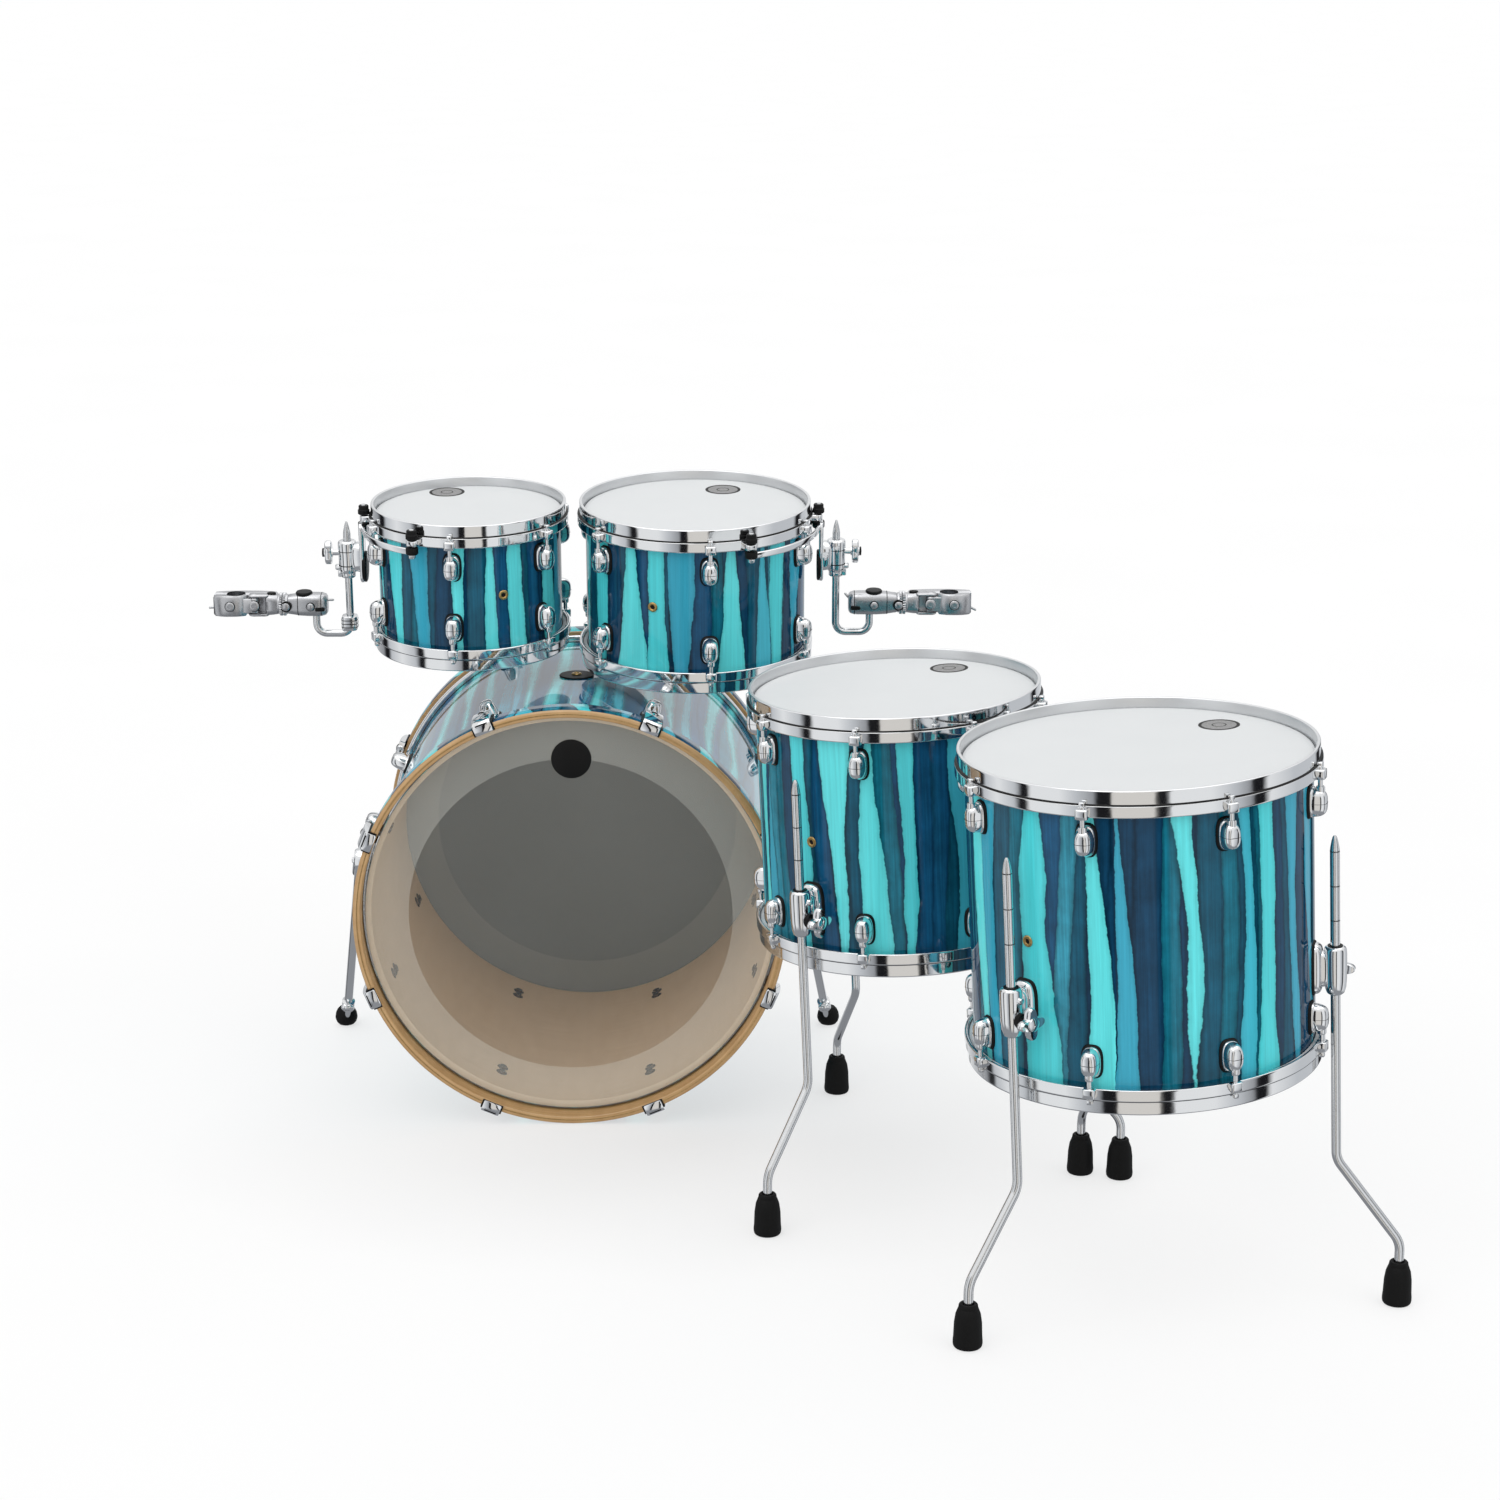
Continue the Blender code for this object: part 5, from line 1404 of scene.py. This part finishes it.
        turn_mm(black, [(0.0, 0.0), (6.6, 0.0), (6.4, 1.4), (5.4, 2.4), (0.0, 2.8)], cap)
        made = chrome.piece(self.name + "_stand_grip", palette.cast, sharp=45.0)
        self.keep(made, "chrome", self.name + "_stand_clamp", body="pack_base")
        self.keep(black.piece(self.name + "_stand_grip_cap", palette.gasket), "rubber", body="pack_base")
        self._hinged_jaw(palette, place, pin)

    def _hinged_jaw(self, palette: Palette, place: Array, pin: Array) -> None:
        """Make the hinged jaw: notched grip, eye about the pin, round bolt heads and the tightening lever."""
        front = self.front
        jaw = Surface()
        root = rectangle_mm(7.0, 6.6, 2.0) + (48.0 * MM, front * 9.0 * MM)
        slab(jaw, root, -10.0, 10.0, place, 0.8)
        outline = self._jaw_outline(front, 49.4 * MM, self.reach - 1.0 * MM, 1.0 * MM)
        slab(jaw, outline, -14.6, 14.6, place, 2.6)
        eye = [(3.4, -10.3), (6.4, -10.3), (7.2, -9.5), (7.2, 9.5), (6.4, 10.3), (3.4, 10.3)]
        turn_mm(jaw, eye, pin, 24, closed=True)
        for reach, out, radius in ((39.0, 14.2, 7.2), (72.0, 18.9, 6.4)):
            head = place @ moved_mm(reach, front * out, 0) @ turned(-90.0 * front, Axis.X)
            ring_mm(jaw, (radius - 0.2, radius + 1.0), (0.0, 0.9), head, 26, slot=1)
            turn_mm(jaw, [(0.0, -1.0), (radius, -1.0), (radius, 1.6), (radius - 1.0, 2.4), (3.4, 2.6), (3.0, 1.2),
                          (0.0, 1.2)], head, 26)
        lever = applied(place, np.array(((90.0, 6.0 * front, -3.0), self.lever_tip)) * MM)
        length = float(np.linalg.norm(lever[1] - lever[0])) / MM
        lathe_bar(jaw, *lever, [(0.0, 4.6), (0.35 * length, 4.2), (0.42 * length, 1.8), (0.95 * length, 1.6),
                                (length, 0.6)])
        made = jaw.piece(self.name + "_hinged_jaw", palette.cast, palette.gasket, sharp=45.0)
        self.keep(made, "chrome", self.name + "_clamp_jaw", body=self.name + "_jaw_body")

    @staticmethod
    def _jaw_outline(side: float, start: float, end: float, thin: float) -> Array:
        """Return the outline of one jaw: straight seat, half-round notch for the tube, and a bowed back."""
        turn = np.radians(np.linspace(180.0, 0.0, 15))
        notch = np.stack((66.0 * MM + 13.2 * MM * np.cos(turn), side * (1.5 * MM + 13.2 * MM * np.sin(turn))), 1)
        along = np.linspace(end, start, 13)
        middle = (start + end) / 2.0
        bow = 1.0 - 0.42 * np.abs((along - middle) / (end - middle)) ** 2.6
        back = np.stack((along, side * (20.5 * MM - thin) * bow), 1)
        seat = np.array(((start, side * 1.5 * MM),))
        last = np.array(((end, side * 1.5 * MM),))
        return np.concatenate((seat, notch, last, back))

    def dress_rack(self, palette: Palette) -> None:
        """Make the drum, its mount, rod and clamp."""
        self.dress(palette, tuple(self.side + step for step in (-self.spread, 0.0, self.spread)))
        self.mount(palette)
        self.rod(palette)
        self.lock(palette)
        self.holder(palette)
        self.stand_clamp(palette)


@dataclass
class BassDrum(Drum):
    """The bass drum: wooden hoops with claws, smoky front film, and two folding spurs.

    Attributes:
        overhang: run of a hoop past the shell's edge.
        hoop_inner: radius of the hoop's inner wall past the shell's.
        hoop_outer: radius of the hoop's corners past the shell's; the CAD hoop has hoop_flats flats.
        outer_face: face of the hoop's profile that is lacquered.
        rod_gap: distance of the tension rods from the hoop.
        spur_place: height of the spurs' brackets above the axis, and their depth from the front edge.
        spur_foot: run of a spur's foot from the drum's middle, and back from its pivot.
    """

    overhang: float = 25.0 * MM
    hoop_width: float = 38.0 * MM
    hoop_inner: float = 3.5 * MM
    hoop_outer: float = 15.1 * MM
    hoop_flats: int = 40
    outer_face: int = 6
    lug_depth: float = 70.0 * MM
    rod_gap: float = 4.5 * MM
    spur_place: Pair = (24.3 * MM, 175.0 * MM)
    spur_foot: Pair = (0.361, 0.198)

    @property
    def rest_height(self) -> float:
        """Height of the axis when a flat of each CAD hoop lies on the floor."""
        return (self.radius + self.hoop_outer) * math.cos(math.pi / self.hoop_flats)

    @property
    def claw_angles(self) -> list[float]:
        """Angles of the claws and lugs."""
        return [self.lug_angle + 360.0 * index / self.lugs for index in range(self.lugs)]

    def settle(self, shift: Array) -> None:
        """Work out the lying frame, with the hoops resting on the floor."""
        place = moved(shift[0], shift[1] + self.overhang + self.depth, self.rest_height)
        self.frame = place @ turned(90.0, Axis.X)

    def end_frame(self, end: End) -> Array:
        """Return the frame of one shell edge, with +Z pointing out of the drum."""
        if end is End.TOP:
            return self.frame @ moved(0.0, 0.0, self.depth)
        return self.frame @ turned(180.0, Axis.Y)

    def hoops(self, palette: Palette) -> None:
        """Make both wooden hoops, with rounded edges and U along the grain."""
        radius = self.radius
        low, high = self.overhang - self.hoop_width, self.overhang
        inner, outer = radius + self.hoop_inner, self.rest_height - 0.05 * MM
        profile = np.array([
            (inner, low + 1.0 * MM), (inner, high - 2.0 * MM), (inner + 0.8 * MM, high - 0.6 * MM),
            (inner + 2.4 * MM, high), (outer - 3.2 * MM, high), (outer - 1.0 * MM, high - 0.9 * MM),
            (outer, high - 2.8 * MM), (outer, low + 1.6 * MM), (outer - 1.2 * MM, low), (inner + 1.0 * MM, low)])
        angles = TAU * np.arange(SHELL_STEPS + 1) / SHELL_STEPS
        length = np.concatenate(([0.0], np.cumsum(np.linalg.norm(np.diff(profile, axis=0), axis=1))))
        line = np.array([(inner + 4.4 * MM, high - 0.3 * MM), (inner + 4.4 * MM, high + 0.06 * MM),
                         (inner + 5.4 * MM, high + 0.06 * MM), (inner + 5.4 * MM, high - 0.3 * MM)])
        finish = StripedLacquer("hoop_stripes", 6.2).make()
        for end, word in ((End.TOP, "front"), (End.BOTTOM, "rear")):
            surface = Surface()
            surface.grid(applied(self.end_frame(end), turned_rows(*profile.T, angles[:-1])), wrap_across=True,
                         uv=uv_rows(radius * angles, length))
            for index in range(self.outer_face * SHELL_STEPS, (self.outer_face + 1) * SHELL_STEPS):
                surface.slots[index] = 1
                surface.uvs[index] = tuple((u, v * 3.0) for u, v in surface.uvs[index])
            revolve(surface, line, self.end_frame(end), SHELL_STEPS, closed=True, slot=2)
            made = surface.piece(f"bass_{word}_maple_hoop", palette.hoop_maple, finish, palette.bronze)
            self.keep(made, "maple", f"bass_{word}_hoop")

    def claw_set(self, palette: Palette) -> None:
        """Make the claws, tension rods and lugs of both ends, with their gaskets."""
        outer = self.radius + self.hoop_outer
        rod = outer + self.rod_gap
        for end, word in ((End.TOP, "front"), (End.BOTTOM, "rear")):
            chrome, black = Surface(), Surface()
            place = self.end_frame(end)
            for angle in self.claw_angles:
                spot = place @ turned(angle, Axis.Z)
                self._claw(chrome, black, spot, outer)
                shank = [(0.0, -62.0), (2.9, -62.0), (2.9, -16.0), (0.0, -16.0)]
                turn_mm(chrome, shank, spot @ moved(rod, 0, 0), 14)
                lug = spot @ moved(self.radius - 0.3 * MM, 0, -self.lug_depth)
                Fittings.lug(chrome, black, lug, (12.2, 20.5, 26.0), rod - self.radius)
            made = chrome.piece(f"bass_{word}_claws_and_lugs", palette.chrome, sharp=45.0)
            self.keep(made, "chrome")
            self.keep(black.piece(f"bass_{word}_claw_gaskets_and_groove_shade", palette.gasket), "rubber")

    def _claw(self, chrome: Surface, black: Surface, spot: Array, outer: float) -> None:
        """Add one claw: a hooked strap over the hoop, a boss for the rod, and a gasket under it.

        The strap is an outline in the radial and axial directions, carried across its width.
        """
        across = spot @ np.array(((1.0, 0, 0, 0), (0, 0, -1.0, 0), (0, 1.0, 0, 0), (0, 0, 0, 1.0)))
        edge, front, tail = outer / MM, self.overhang / MM, (self.overhang - self.hoop_width) / MM
        hook = [(edge - 10.6, front + 0.6), (edge - 10.8, front + 2.7), (edge - 9.4, front + 3.45),
                (edge + 1.0, front + 3.45), (edge + 4.2, front + 2.4), (edge + 6.4, front - 2.0),
                (edge + 8.6, front - 12.0), (edge + 9.4, front - 22.0), (edge + 9.6, tail + 6.0),
                (edge + 8.8, tail - 4.0), (edge + 0.8, tail - 4.0), (edge + 0.8, front - 0.4),
                (edge - 1.0, front + 0.6)]
        pad = [(edge - 11.0, front + 0.05), (edge - 11.0, front + 1.2), (edge + 1.2, front + 1.4),
               (edge + 1.6, tail - 1.0), (edge - 0.2, tail - 1.0), (edge - 0.2, front - 2.4),
               (edge - 2.6, front + 0.05)]
        # A black band across the strap's bend is painted shade of a groove there.
        groove_shade = [(edge + 0.2, front + 2.6), (edge + 0.2, front + 3.5), (edge + 3.4, front + 3.0),
                  (edge + 3.4, front + 2.0)]
        shapes = ((chrome, hook, 12.6, 1.3), (black, pad, 14.8, 0.4), (black, groove_shade, 8.6, 0.1))
        for surface, outline, half, bevel in shapes:
            slab(surface, np.array(outline) * MM, -half, half, across, bevel)
        boss = [(0.0, -18.5), (5.0, -18.5), (6.2, -17.0), (6.2, -4.0), (5.2, 4.0), (0.0, 6.0)]
        rod = spot @ moved(outer + self.rod_gap, 0, 0)
        turn_mm(chrome, boss, rod, 20)
        ring_mm(black, (6.0, 6.9), (-9.0, -7.0), rod, 20)

    def film_set(self, palette: Palette) -> None:
        """Make the front film with its frosted edge ring, the rear film and the bare round patch."""
        edge = self.radius / MM
        for end, word, share, mats in ((End.TOP, "front", 0.787, (palette.smoked, palette.smoked_edge)),
                                       (End.BOTTOM, "rear", 0.80, (palette.rear_film, palette.rear_edge))):
            surface = Surface()
            place = self.end_frame(end)
            ring = share * edge
            strips = (
                (0, [(0.0, 1.3), (ring, 1.3)]),
                (1, [(ring, 1.3), (edge - 3.0, 1.25), (edge + 0.8, 1.0), (edge + 1.7, 0.0), (edge + 1.8, -13.3)]),
                (2, [(edge + 1.8, -13.3), (edge + 9.4, -13.3), (edge + 9.4, -21.2), (edge + 0.9, -21.2)]),
                (1, [(edge + 0.9, -21.2), (edge + 0.9, 0.2), (edge - 1.0, 0.4), (ring, 0.5)]),
                (0, [(ring, 0.5), (0.0, 0.5)]))
            for slot, table in strips:
                strip(surface, np.array(table) * MM, place, SHELL_STEPS, slot)
            made = welded(surface.piece(f"bass_{word}_film", *mats, palette.steel))
            self.keep(made, "smoked_film", f"bass_{word}_head")
        patch = Surface()
        spot = self.end_frame(End.TOP) @ moved_mm(4.0, 220.5, 1.3)
        turn_mm(patch, [(0.0, 0.0), (26.5, 0.0), (27.0, 0.3), (26.4, 0.7), (0.0, 0.8)], spot, 48)
        self.keep(patch.piece("bass_round_patch", palette.gasket), "rubber")

    def inner_screws(self, palette: Palette) -> None:
        """Make the pairs of lug screws on the shell's inner wall."""
        surface = Surface()
        screw = [(0.0, -0.5), (8.0, -0.5), (8.0, 0.8), (5.0, 1.2), (5.0, 3.6), (0.0, 4.4)]
        for end in End:
            for angle in self.claw_angles:
                for offset in (-9.5, 9.5):
                    spot = (self.end_frame(end) @ turned(angle, Axis.Z)
                            @ moved(self.radius - 7.8 * MM, 0, offset * MM - self.lug_depth) @ turned(-90.0, Axis.Y))
                    turn_mm(surface, screw, spot, 18)
        self.keep(surface.piece("bass_lug_screws", palette.screw), "chrome")

    def top_vent(self, palette: Palette) -> None:
        """Make the air vent on the shell's top: a bronze ring on a plain dark round plate."""
        plate, ring = Surface(), Surface()
        spot = self.frame @ turned(90.0, Axis.Z) @ moved(self.radius + 0.2 * MM, 0, self.depth / 2.0)
        rounds = [(0.0, -1.4), (24.0, -1.4), (24.4, 0.6), (23.4, 1.5), (0.0, 1.7)]
        turn_mm(plate, rounds, spot @ turned(90.0, Axis.Y), 40)
        Fittings.vent(ring, plate, spot @ moved_mm(1.6, 0, 0))
        self.keep(plate.piece("bass_vent_plate", palette.gasket), "rubber")
        self.keep(ring.piece("bass_vent_ring", palette.bronze), "chrome")

    def spurs(self, palette: Palette) -> None:
        """Make both spurs: bracket on a gasket, pivot knuckle, leg, wing nut and rubber ball."""
        for sign, word in ((-1.0, "left"), (1.0, "right")):
            side = 180.0 if sign < 0 else 0.0
            height, depth = self.spur_place
            turn = self.frame @ moved(0, height, self.depth - depth) @ turned(side, Axis.Z)
            chrome, black = Surface(), Surface()
            pad = turn @ moved(self.radius - 2.0 * MM, 0, 0)
            pebble(black, pad, (20.0, 20.0, 3.6), 3.4, 0.25, sunk=4.0, steps=3)
            pebble(chrome, turn @ moved(self.radius, 0, 0), (18.6, 18.6, 19.6), 3.2, 0.28, sunk=2.0)
            made = chrome.piece(f"bass_{word}_spur_base", palette.chrome, sharp=45.0)
            self.keep(made, "chrome", f"bass_spur_bracket_{word}")
            self.keep(black.piece(f"bass_{word}_spur_gasket", palette.gasket), "rubber")
            self._spur_leg(palette, sign, word, turn)

    def _spur_leg(self, palette: Palette, sign: float, word: str, turn: Array) -> None:
        """Make one spur leg about its pivot."""
        pivot = applied(turn, np.array((self.radius + 27.55 * MM, 0.0, 0.0)))
        middle = self.frame[0, 3]
        foot = np.array((middle + sign * self.spur_foot[0], pivot[1] + self.spur_foot[1], 0.0))
        chrome, black = Surface(), Surface()
        half = np.array((sign * 7.1 * MM, 0, 0))
        knuckle = aimed(pivot - half, pivot + half)
        turn_mm(chrome, [(0.0, 0.0), (15.0, 0.0), (16.8, 1.6), (16.8, 10.6), (15.4, 13.2), (10.0, 14.2), (0.0, 14.2)],
                knuckle, 32)
        slab(chrome, rectangle_mm(3.2, 3.2, 0.8), 13.5, 18.0, knuckle, 0.6)
        length = float(np.linalg.norm(foot - pivot))
        end = length / MM
        lathe_bar(chrome, pivot, foot, [(0.0, 0.0), (0.0, 9.4), (26.0, 9.4), (29.0, 6.2), (end - 58.0, 6.2),
                                        (end - 56.0, 9.5), (end - 40.0, 9.5), (end - 38.0, 5.0), (end - 18.0, 5.0),
                                        (end - 18.0, 0.0)])
        along = (foot - pivot) / length
        collar = pivot + along * (length - 48.0 * MM)
        nut = aimed(collar, collar + np.array((0, -1.0, 0)))
        Fittings.wing_bolt(chrome, nut @ moved_mm(0, 0, 6.0), 12.0, 9.0, 2)
        ball = [(0.0, 0.0), (8.0, 0.0), (11.5, 1.4), (14.6, 5.0), (16.3, 10.0), (16.4, 13.0), (15.4, 19.0),
                (13.0, 24.0), (9.8, 27.4), (6.0, 27.8), (0.0, 27.8)]
        turn_mm(black, ball, moved(*foot), 36)
        made = chrome.piece(f"bass_{word}_spur_rod", palette.chrome, sharp=45.0)
        self.keep(made, "chrome", f"bass_spur_leg_{word}", body=f"spur_{word}")
        self.keep(black.piece(f"bass_{word}_spur_ball", palette.rubber), "rubber", body=f"spur_{word}")

    def dress(self, palette: Palette) -> None:
        """Make everything of the bass drum."""
        self.shell(palette)
        self.hoops(palette)
        self.claw_set(palette)
        self.film_set(palette)
        self.inner_screws(palette)
        self.top_vent(palette)
        self.spurs(palette)


# Studio

@dataclass(frozen=True)
class SoftSun:
    """A distant lamp: where its light comes from, how wide it is in degrees, and its strength."""

    name: str
    place: Point
    spread: float
    strength: float

    def hang(self) -> None:
        """Put the lamp into the scene."""
        data = bpy.data.lights.new(self.name, "SUN")
        data.angle = math.radians(self.spread)
        data.energy = self.strength
        aim = aimed(np.array(self.place), np.zeros(3)) @ turned(180.0, Axis.X)
        linked(self.name, data).matrix_world = Matrix(aim.tolist())


@dataclass(frozen=True)
class Studio:
    """Camera, floor, lamps and world.

    Attributes:
        lens: focal length in millimetres, as film_width is.
        yaw: turn of the camera to the right, in degrees.
        pitch: turn of the camera down, in degrees.
        patch: centre and half sizes of the painted shadow in front of the bass drum, where the floor's own light is
            weaker.
        glow: strength of the floor's own light inside and outside the patch.
        ambient: strength of the world's light on dull surfaces.
        shell_watts: power of the lamp inside the bass shell.
        shell_size: radius of that lamp.
    """

    lens: float = 73.547
    film_width: float = 36.0
    eye: Point = (0.2381, -3.9346, 1.5953)
    yaw: float = 0.0768
    pitch: float = 15.1133
    patch: tuple[Point, Point] = ((0.16, -0.06, 0.0), (0.72, 0.44, 1.0))
    glow: Pair = (0.58, 0.69)
    ambient: float = 0.60
    shell_watts: float = 0.45
    shell_size: float = 0.12

    def camera(self, shift: Array) -> None:
        """Put the camera where the photograph was taken from."""
        data = bpy.data.cameras.new("view")
        data.lens = self.lens
        data.sensor_width = self.film_width
        made = linked("view", data)
        made.location = tuple(np.array(self.eye) + shift)
        made.rotation_euler = (math.radians(90.0 - self.pitch), 0.0, math.radians(-self.yaw))
        bpy.context.scene.camera = made

    def floor(self, shift: Array) -> None:
        """Make the pale floor, wide enough to fill the view up to the horizon.

        It has a painted shadow in front of the bass drum, where its own light is weaker. Polished parts mirror the
        drum wall instead.
        """
        surface = Surface()
        reach, level = 90.0, -0.5 * MM
        surface.grid(np.array([[(x, y, level) for x in (-reach, reach)] for y in (-reach, reach)]), wrap=False)
        nodes = Nodes("studio_floor")
        grain = nodes.noise(nodes.object_point(), 2.0, 1.0)
        nodes.feed(nodes.ramp(grain, [(0.3, grey(0.276)), (0.7, grey(0.284))]))
        # Painted shadow: the floor's own light fades to a weaker level in a soft ellipse in front of the bass drum.
        patch = nodes.add("ShaderNodeMapping", vector_type="TEXTURE")
        patch.inputs["Location"].default_value = tuple(np.array(self.patch[0]) + shift)
        patch.inputs["Scale"].default_value = self.patch[1]
        nodes.join(nodes.object_point(), patch.inputs["Vector"])
        away = nodes.add("ShaderNodeVectorMath", operation="LENGTH")
        nodes.join(patch.outputs["Vector"], away.inputs[0])
        cloud = nodes.noise(nodes.object_point(), 2.6, 2.0)
        distance = nodes.math("ADD", away.outputs["Value"], nodes.math("MULTIPLY", cloud, 0.3))
        nodes.feed(nodes.remap(distance, 0.15, 1.15, *self.glow), "Emission Strength")
        nodes.set(Roughness=0.9, Specular_IOR_Level=0.0, Emission_Color=WHITE)
        made = surface.piece("studio_floor", nodes.material)
        made.visible_glossy = False

    def world(self) -> None:
        """Light the scene evenly, and show white to camera, glossy and transmission rays."""
        scene = bpy.context.scene
        world = bpy.data.worlds.new("studio")
        scene.world = world
        world.use_nodes = True
        tree = world.node_tree
        tree.nodes.clear()
        output = tree.nodes.new("ShaderNodeOutputWorld")
        mix = tree.nodes.new("ShaderNodeMixShader")
        for index, strength in ((1, self.ambient), (2, 1.0)):
            white = tree.nodes.new("ShaderNodeBackground")
            white.inputs["Color"].default_value = WHITE
            white.inputs["Strength"].default_value = strength
            tree.links.new(white.outputs["Background"], mix.inputs[index])
        path = tree.nodes.new("ShaderNodeLightPath")
        seen = path.outputs["Is Camera Ray"]
        for name in ("Is Glossy Ray", "Is Transmission Ray"):
            either = tree.nodes.new("ShaderNodeMath")
            either.operation = "MAXIMUM"
            tree.links.new(seen, either.inputs[0])
            tree.links.new(path.outputs[name], either.inputs[1])
            seen = either.outputs[0]
        tree.links.new(seen, mix.inputs["Fac"])
        tree.links.new(mix.outputs["Shader"], output.inputs["Surface"])

    def lamps(self) -> None:
        """Hang three distant soft lamps, which light the floor the same everywhere."""
        SoftSun("key_lamp", (-2.4, -3.0, 4.2), spread=50.0, strength=0.80).hang()
        SoftSun("fill_lamp", (3.4, -2.6, 3.0), spread=50.0, strength=0.45).hang()
        SoftSun("top_lamp", (0.2, 0.8, 4.0), spread=70.0, strength=0.75).hang()

    def shell_lamp(self, place: Array) -> None:
        """Hang a soft lamp inside the bass shell, as its film lets in less light than the studio has."""
        data = bpy.data.lights.new("shell_lamp", "POINT")
        data.energy = self.shell_watts
        data.shadow_soft_size = self.shell_size
        made = linked("shell_lamp", data)
        made.location = tuple(place[:3, 3])
        made.visible_camera = False
        made.visible_glossy = False

    def reflections(self) -> None:
        """Put a round wall about the pack, which only polished parts mirror.

        It is upright from below the floor to above the camera, so that its dark uprights stay
        upright in the hoops. Its brightness changes with the angle about +Z: soft grey, with two
        dark uprights in front and more at the sides. It fades to grey below and to white above.
        """
        profile = np.array([(0.02, -2.4), (1.5, -2.3), (2.3, -2.0), (2.5, -1.5), (2.5, -0.8), (2.5, 0.9), (2.5, 1.9),
                            (2.4, 3.0)])
        radius, height = profile.T
        turns = np.linspace(-180.0, 180.0, 241)
        surface = Surface()
        surface.grid(turned_rows(radius, height, np.radians(turns - 90.0)), wrap=False, uv=uv_rows(turns, height))
        nodes = Nodes("mirrored_surroundings")
        turn, level = nodes.parts(nodes.uv())
        pale, mid, low, black = (0.90, 0.91, 0.92), (0.60, 0.62, 0.65), (0.34, 0.35, 0.37), (0.012, 0.012, 0.014)
        cream = (0.76, 0.73, 0.69)
        stops = [(-180, pale), (-128, low), (-122, black), (-116, black), (-112, mid), (-96, pale), (-78, mid),
                 (-72, black), (-67, black), (-64, pale), (-42, pale), (-30, mid), (-19, low), (-17.5, black),
                 (-9.5, black), (-8.7, cream), (13.5, cream), (14.2, black), (19.5, black), (20.5, pale), (40, pale),
                 (52, mid), (60, low), (62, black), (68, black), (71, pale), (92, mid), (122, mid), (126, black),
                 (133, black), (137, mid), (180, pale)]
        colour = nodes.ramp(nodes.remap(turn, -180.0, 180.0, 0.0, 1.0),
                            [((angle + 180.0) / 360.0, tone) for angle, tone in stops])
        colour = nodes.blend(nodes.remap(level, -1.5, -1.0, 0.0, 1.0), (0.30, 0.31, 0.33), colour)
        colour = nodes.blend(nodes.remap(level, 1.2, 1.9, 0.0, 1.0), colour, grey(0.95))
        glow = nodes.add("ShaderNodeEmission")
        nodes.join(colour, glow.inputs["Color"])
        nodes.join(glow.outputs["Emission"], nodes.output.inputs["Surface"])
        made = surface.piece("mirrored_surroundings", nodes.material)
        made.visible_camera = False
        made.visible_diffuse = False
        made.visible_shadow = False
        made.visible_transmission = False

    def build(self, shift: Array) -> None:
        """Set up the whole studio."""
        bpy.context.scene.view_settings.view_transform = "Standard"
        self.camera(shift)
        self.floor(shift)
        self.world()
        self.lamps()
        self.reflections()


def layout_shift(depth: float, overhang: float) -> Array:
    """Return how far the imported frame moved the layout, read off the bass drum's shell."""
    low, high = (np.array(corner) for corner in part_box("bass_shell"))
    return np.array(((low[0] + high[0]) / 2.0, (low[1] + high[1]) / 2.0 - overhang - depth / 2.0, 0.0))


def main() -> None:
    """Build the pack's looks on the frame."""
    logging.basicConfig(level=logging.INFO, format="%(name)s: %(message)s")
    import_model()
    bass = BassDrum("bass", diameter=22 * INCH, depth=18 * INCH, lugs=8, lug_angle=22.5, seed=3.1, wall=8.0 * MM,
                    stroke_cell=0.036, gloss=(1.0, 2.3), soft=0.10)
    shift = layout_shift(bass.depth, bass.overhang)
    palette = Palette.build()
    studio = Studio()
    studio.build(shift)
    bass.settle(shift)
    studio.shell_lamp(bass.frame @ moved(0.0, 0.10, bass.depth / 2.0))
    bass.dress(palette)
    racks = (
        RackTom("tom_10", diameter=10 * INCH, depth=7 * INCH, lugs=6, lug_angle=-36.0, rim=(-0.1470, 0.2620, 0.8210),
                tilt=(4.5, 0.0), seed=1.7, lean=0.05, vent=(-64.7, 0.1023), mark=(0.101, 112.6), body="tom_10_body",
                side=180.0, elbow_block=True, lever_tip=(103.6, 6.0, -4.0)),
        RackTom("tom_12", diameter=12 * INCH, depth=8 * INCH, lugs=6, lug_angle=-22.0, rim=(0.1675, 0.2610, 0.8230),
                tilt=(4.9, 0.0), seed=5.3, lean=-0.04, vent=(-111.5, 0.1126), mark=(0.104, 68.6), body="tom_12_body",
                fuller=0.055, side=0.0, grip_end=-30.0, grip_pin=12.0, cap_reach=6.0 * MM),
    )
    floors = (
        FloorTom("floor_14", diameter=14 * INCH, depth=12 * INCH, lugs=8, lug_angle=-107.3,
                 rim=(0.4265, -0.1485, 0.6630), tilt=(0.0, -2.6), seed=8.9, lean=-0.03, vent=(-130.0, 0.167),
                 mark=(0.135, 55.4), leg_angles=(-130.5, -7.0, 107.0), bracket_height=0.067),
        FloorTom("floor_16", diameter=16 * INCH, depth=14 * INCH, lugs=8, lug_angle=-113.5,
                 rim=(0.6955, -0.4730, 0.6710), tilt=(0.0, -3.1), seed=12.4, lean=0.03, vent=(-136.0, 0.191),
                 mark=(0.150, 42.5), leg_angles=(-137.5, -17.5, 98.0), bracket_height=0.100, stroke_cell=0.058),
    )
    for tom in racks:
        tom.settle(shift)
        tom.dress_rack(palette)
    for tom in floors:
        tom.settle(shift)
        tom.dress_floor(palette)


if __name__ == "__main__":
    main()
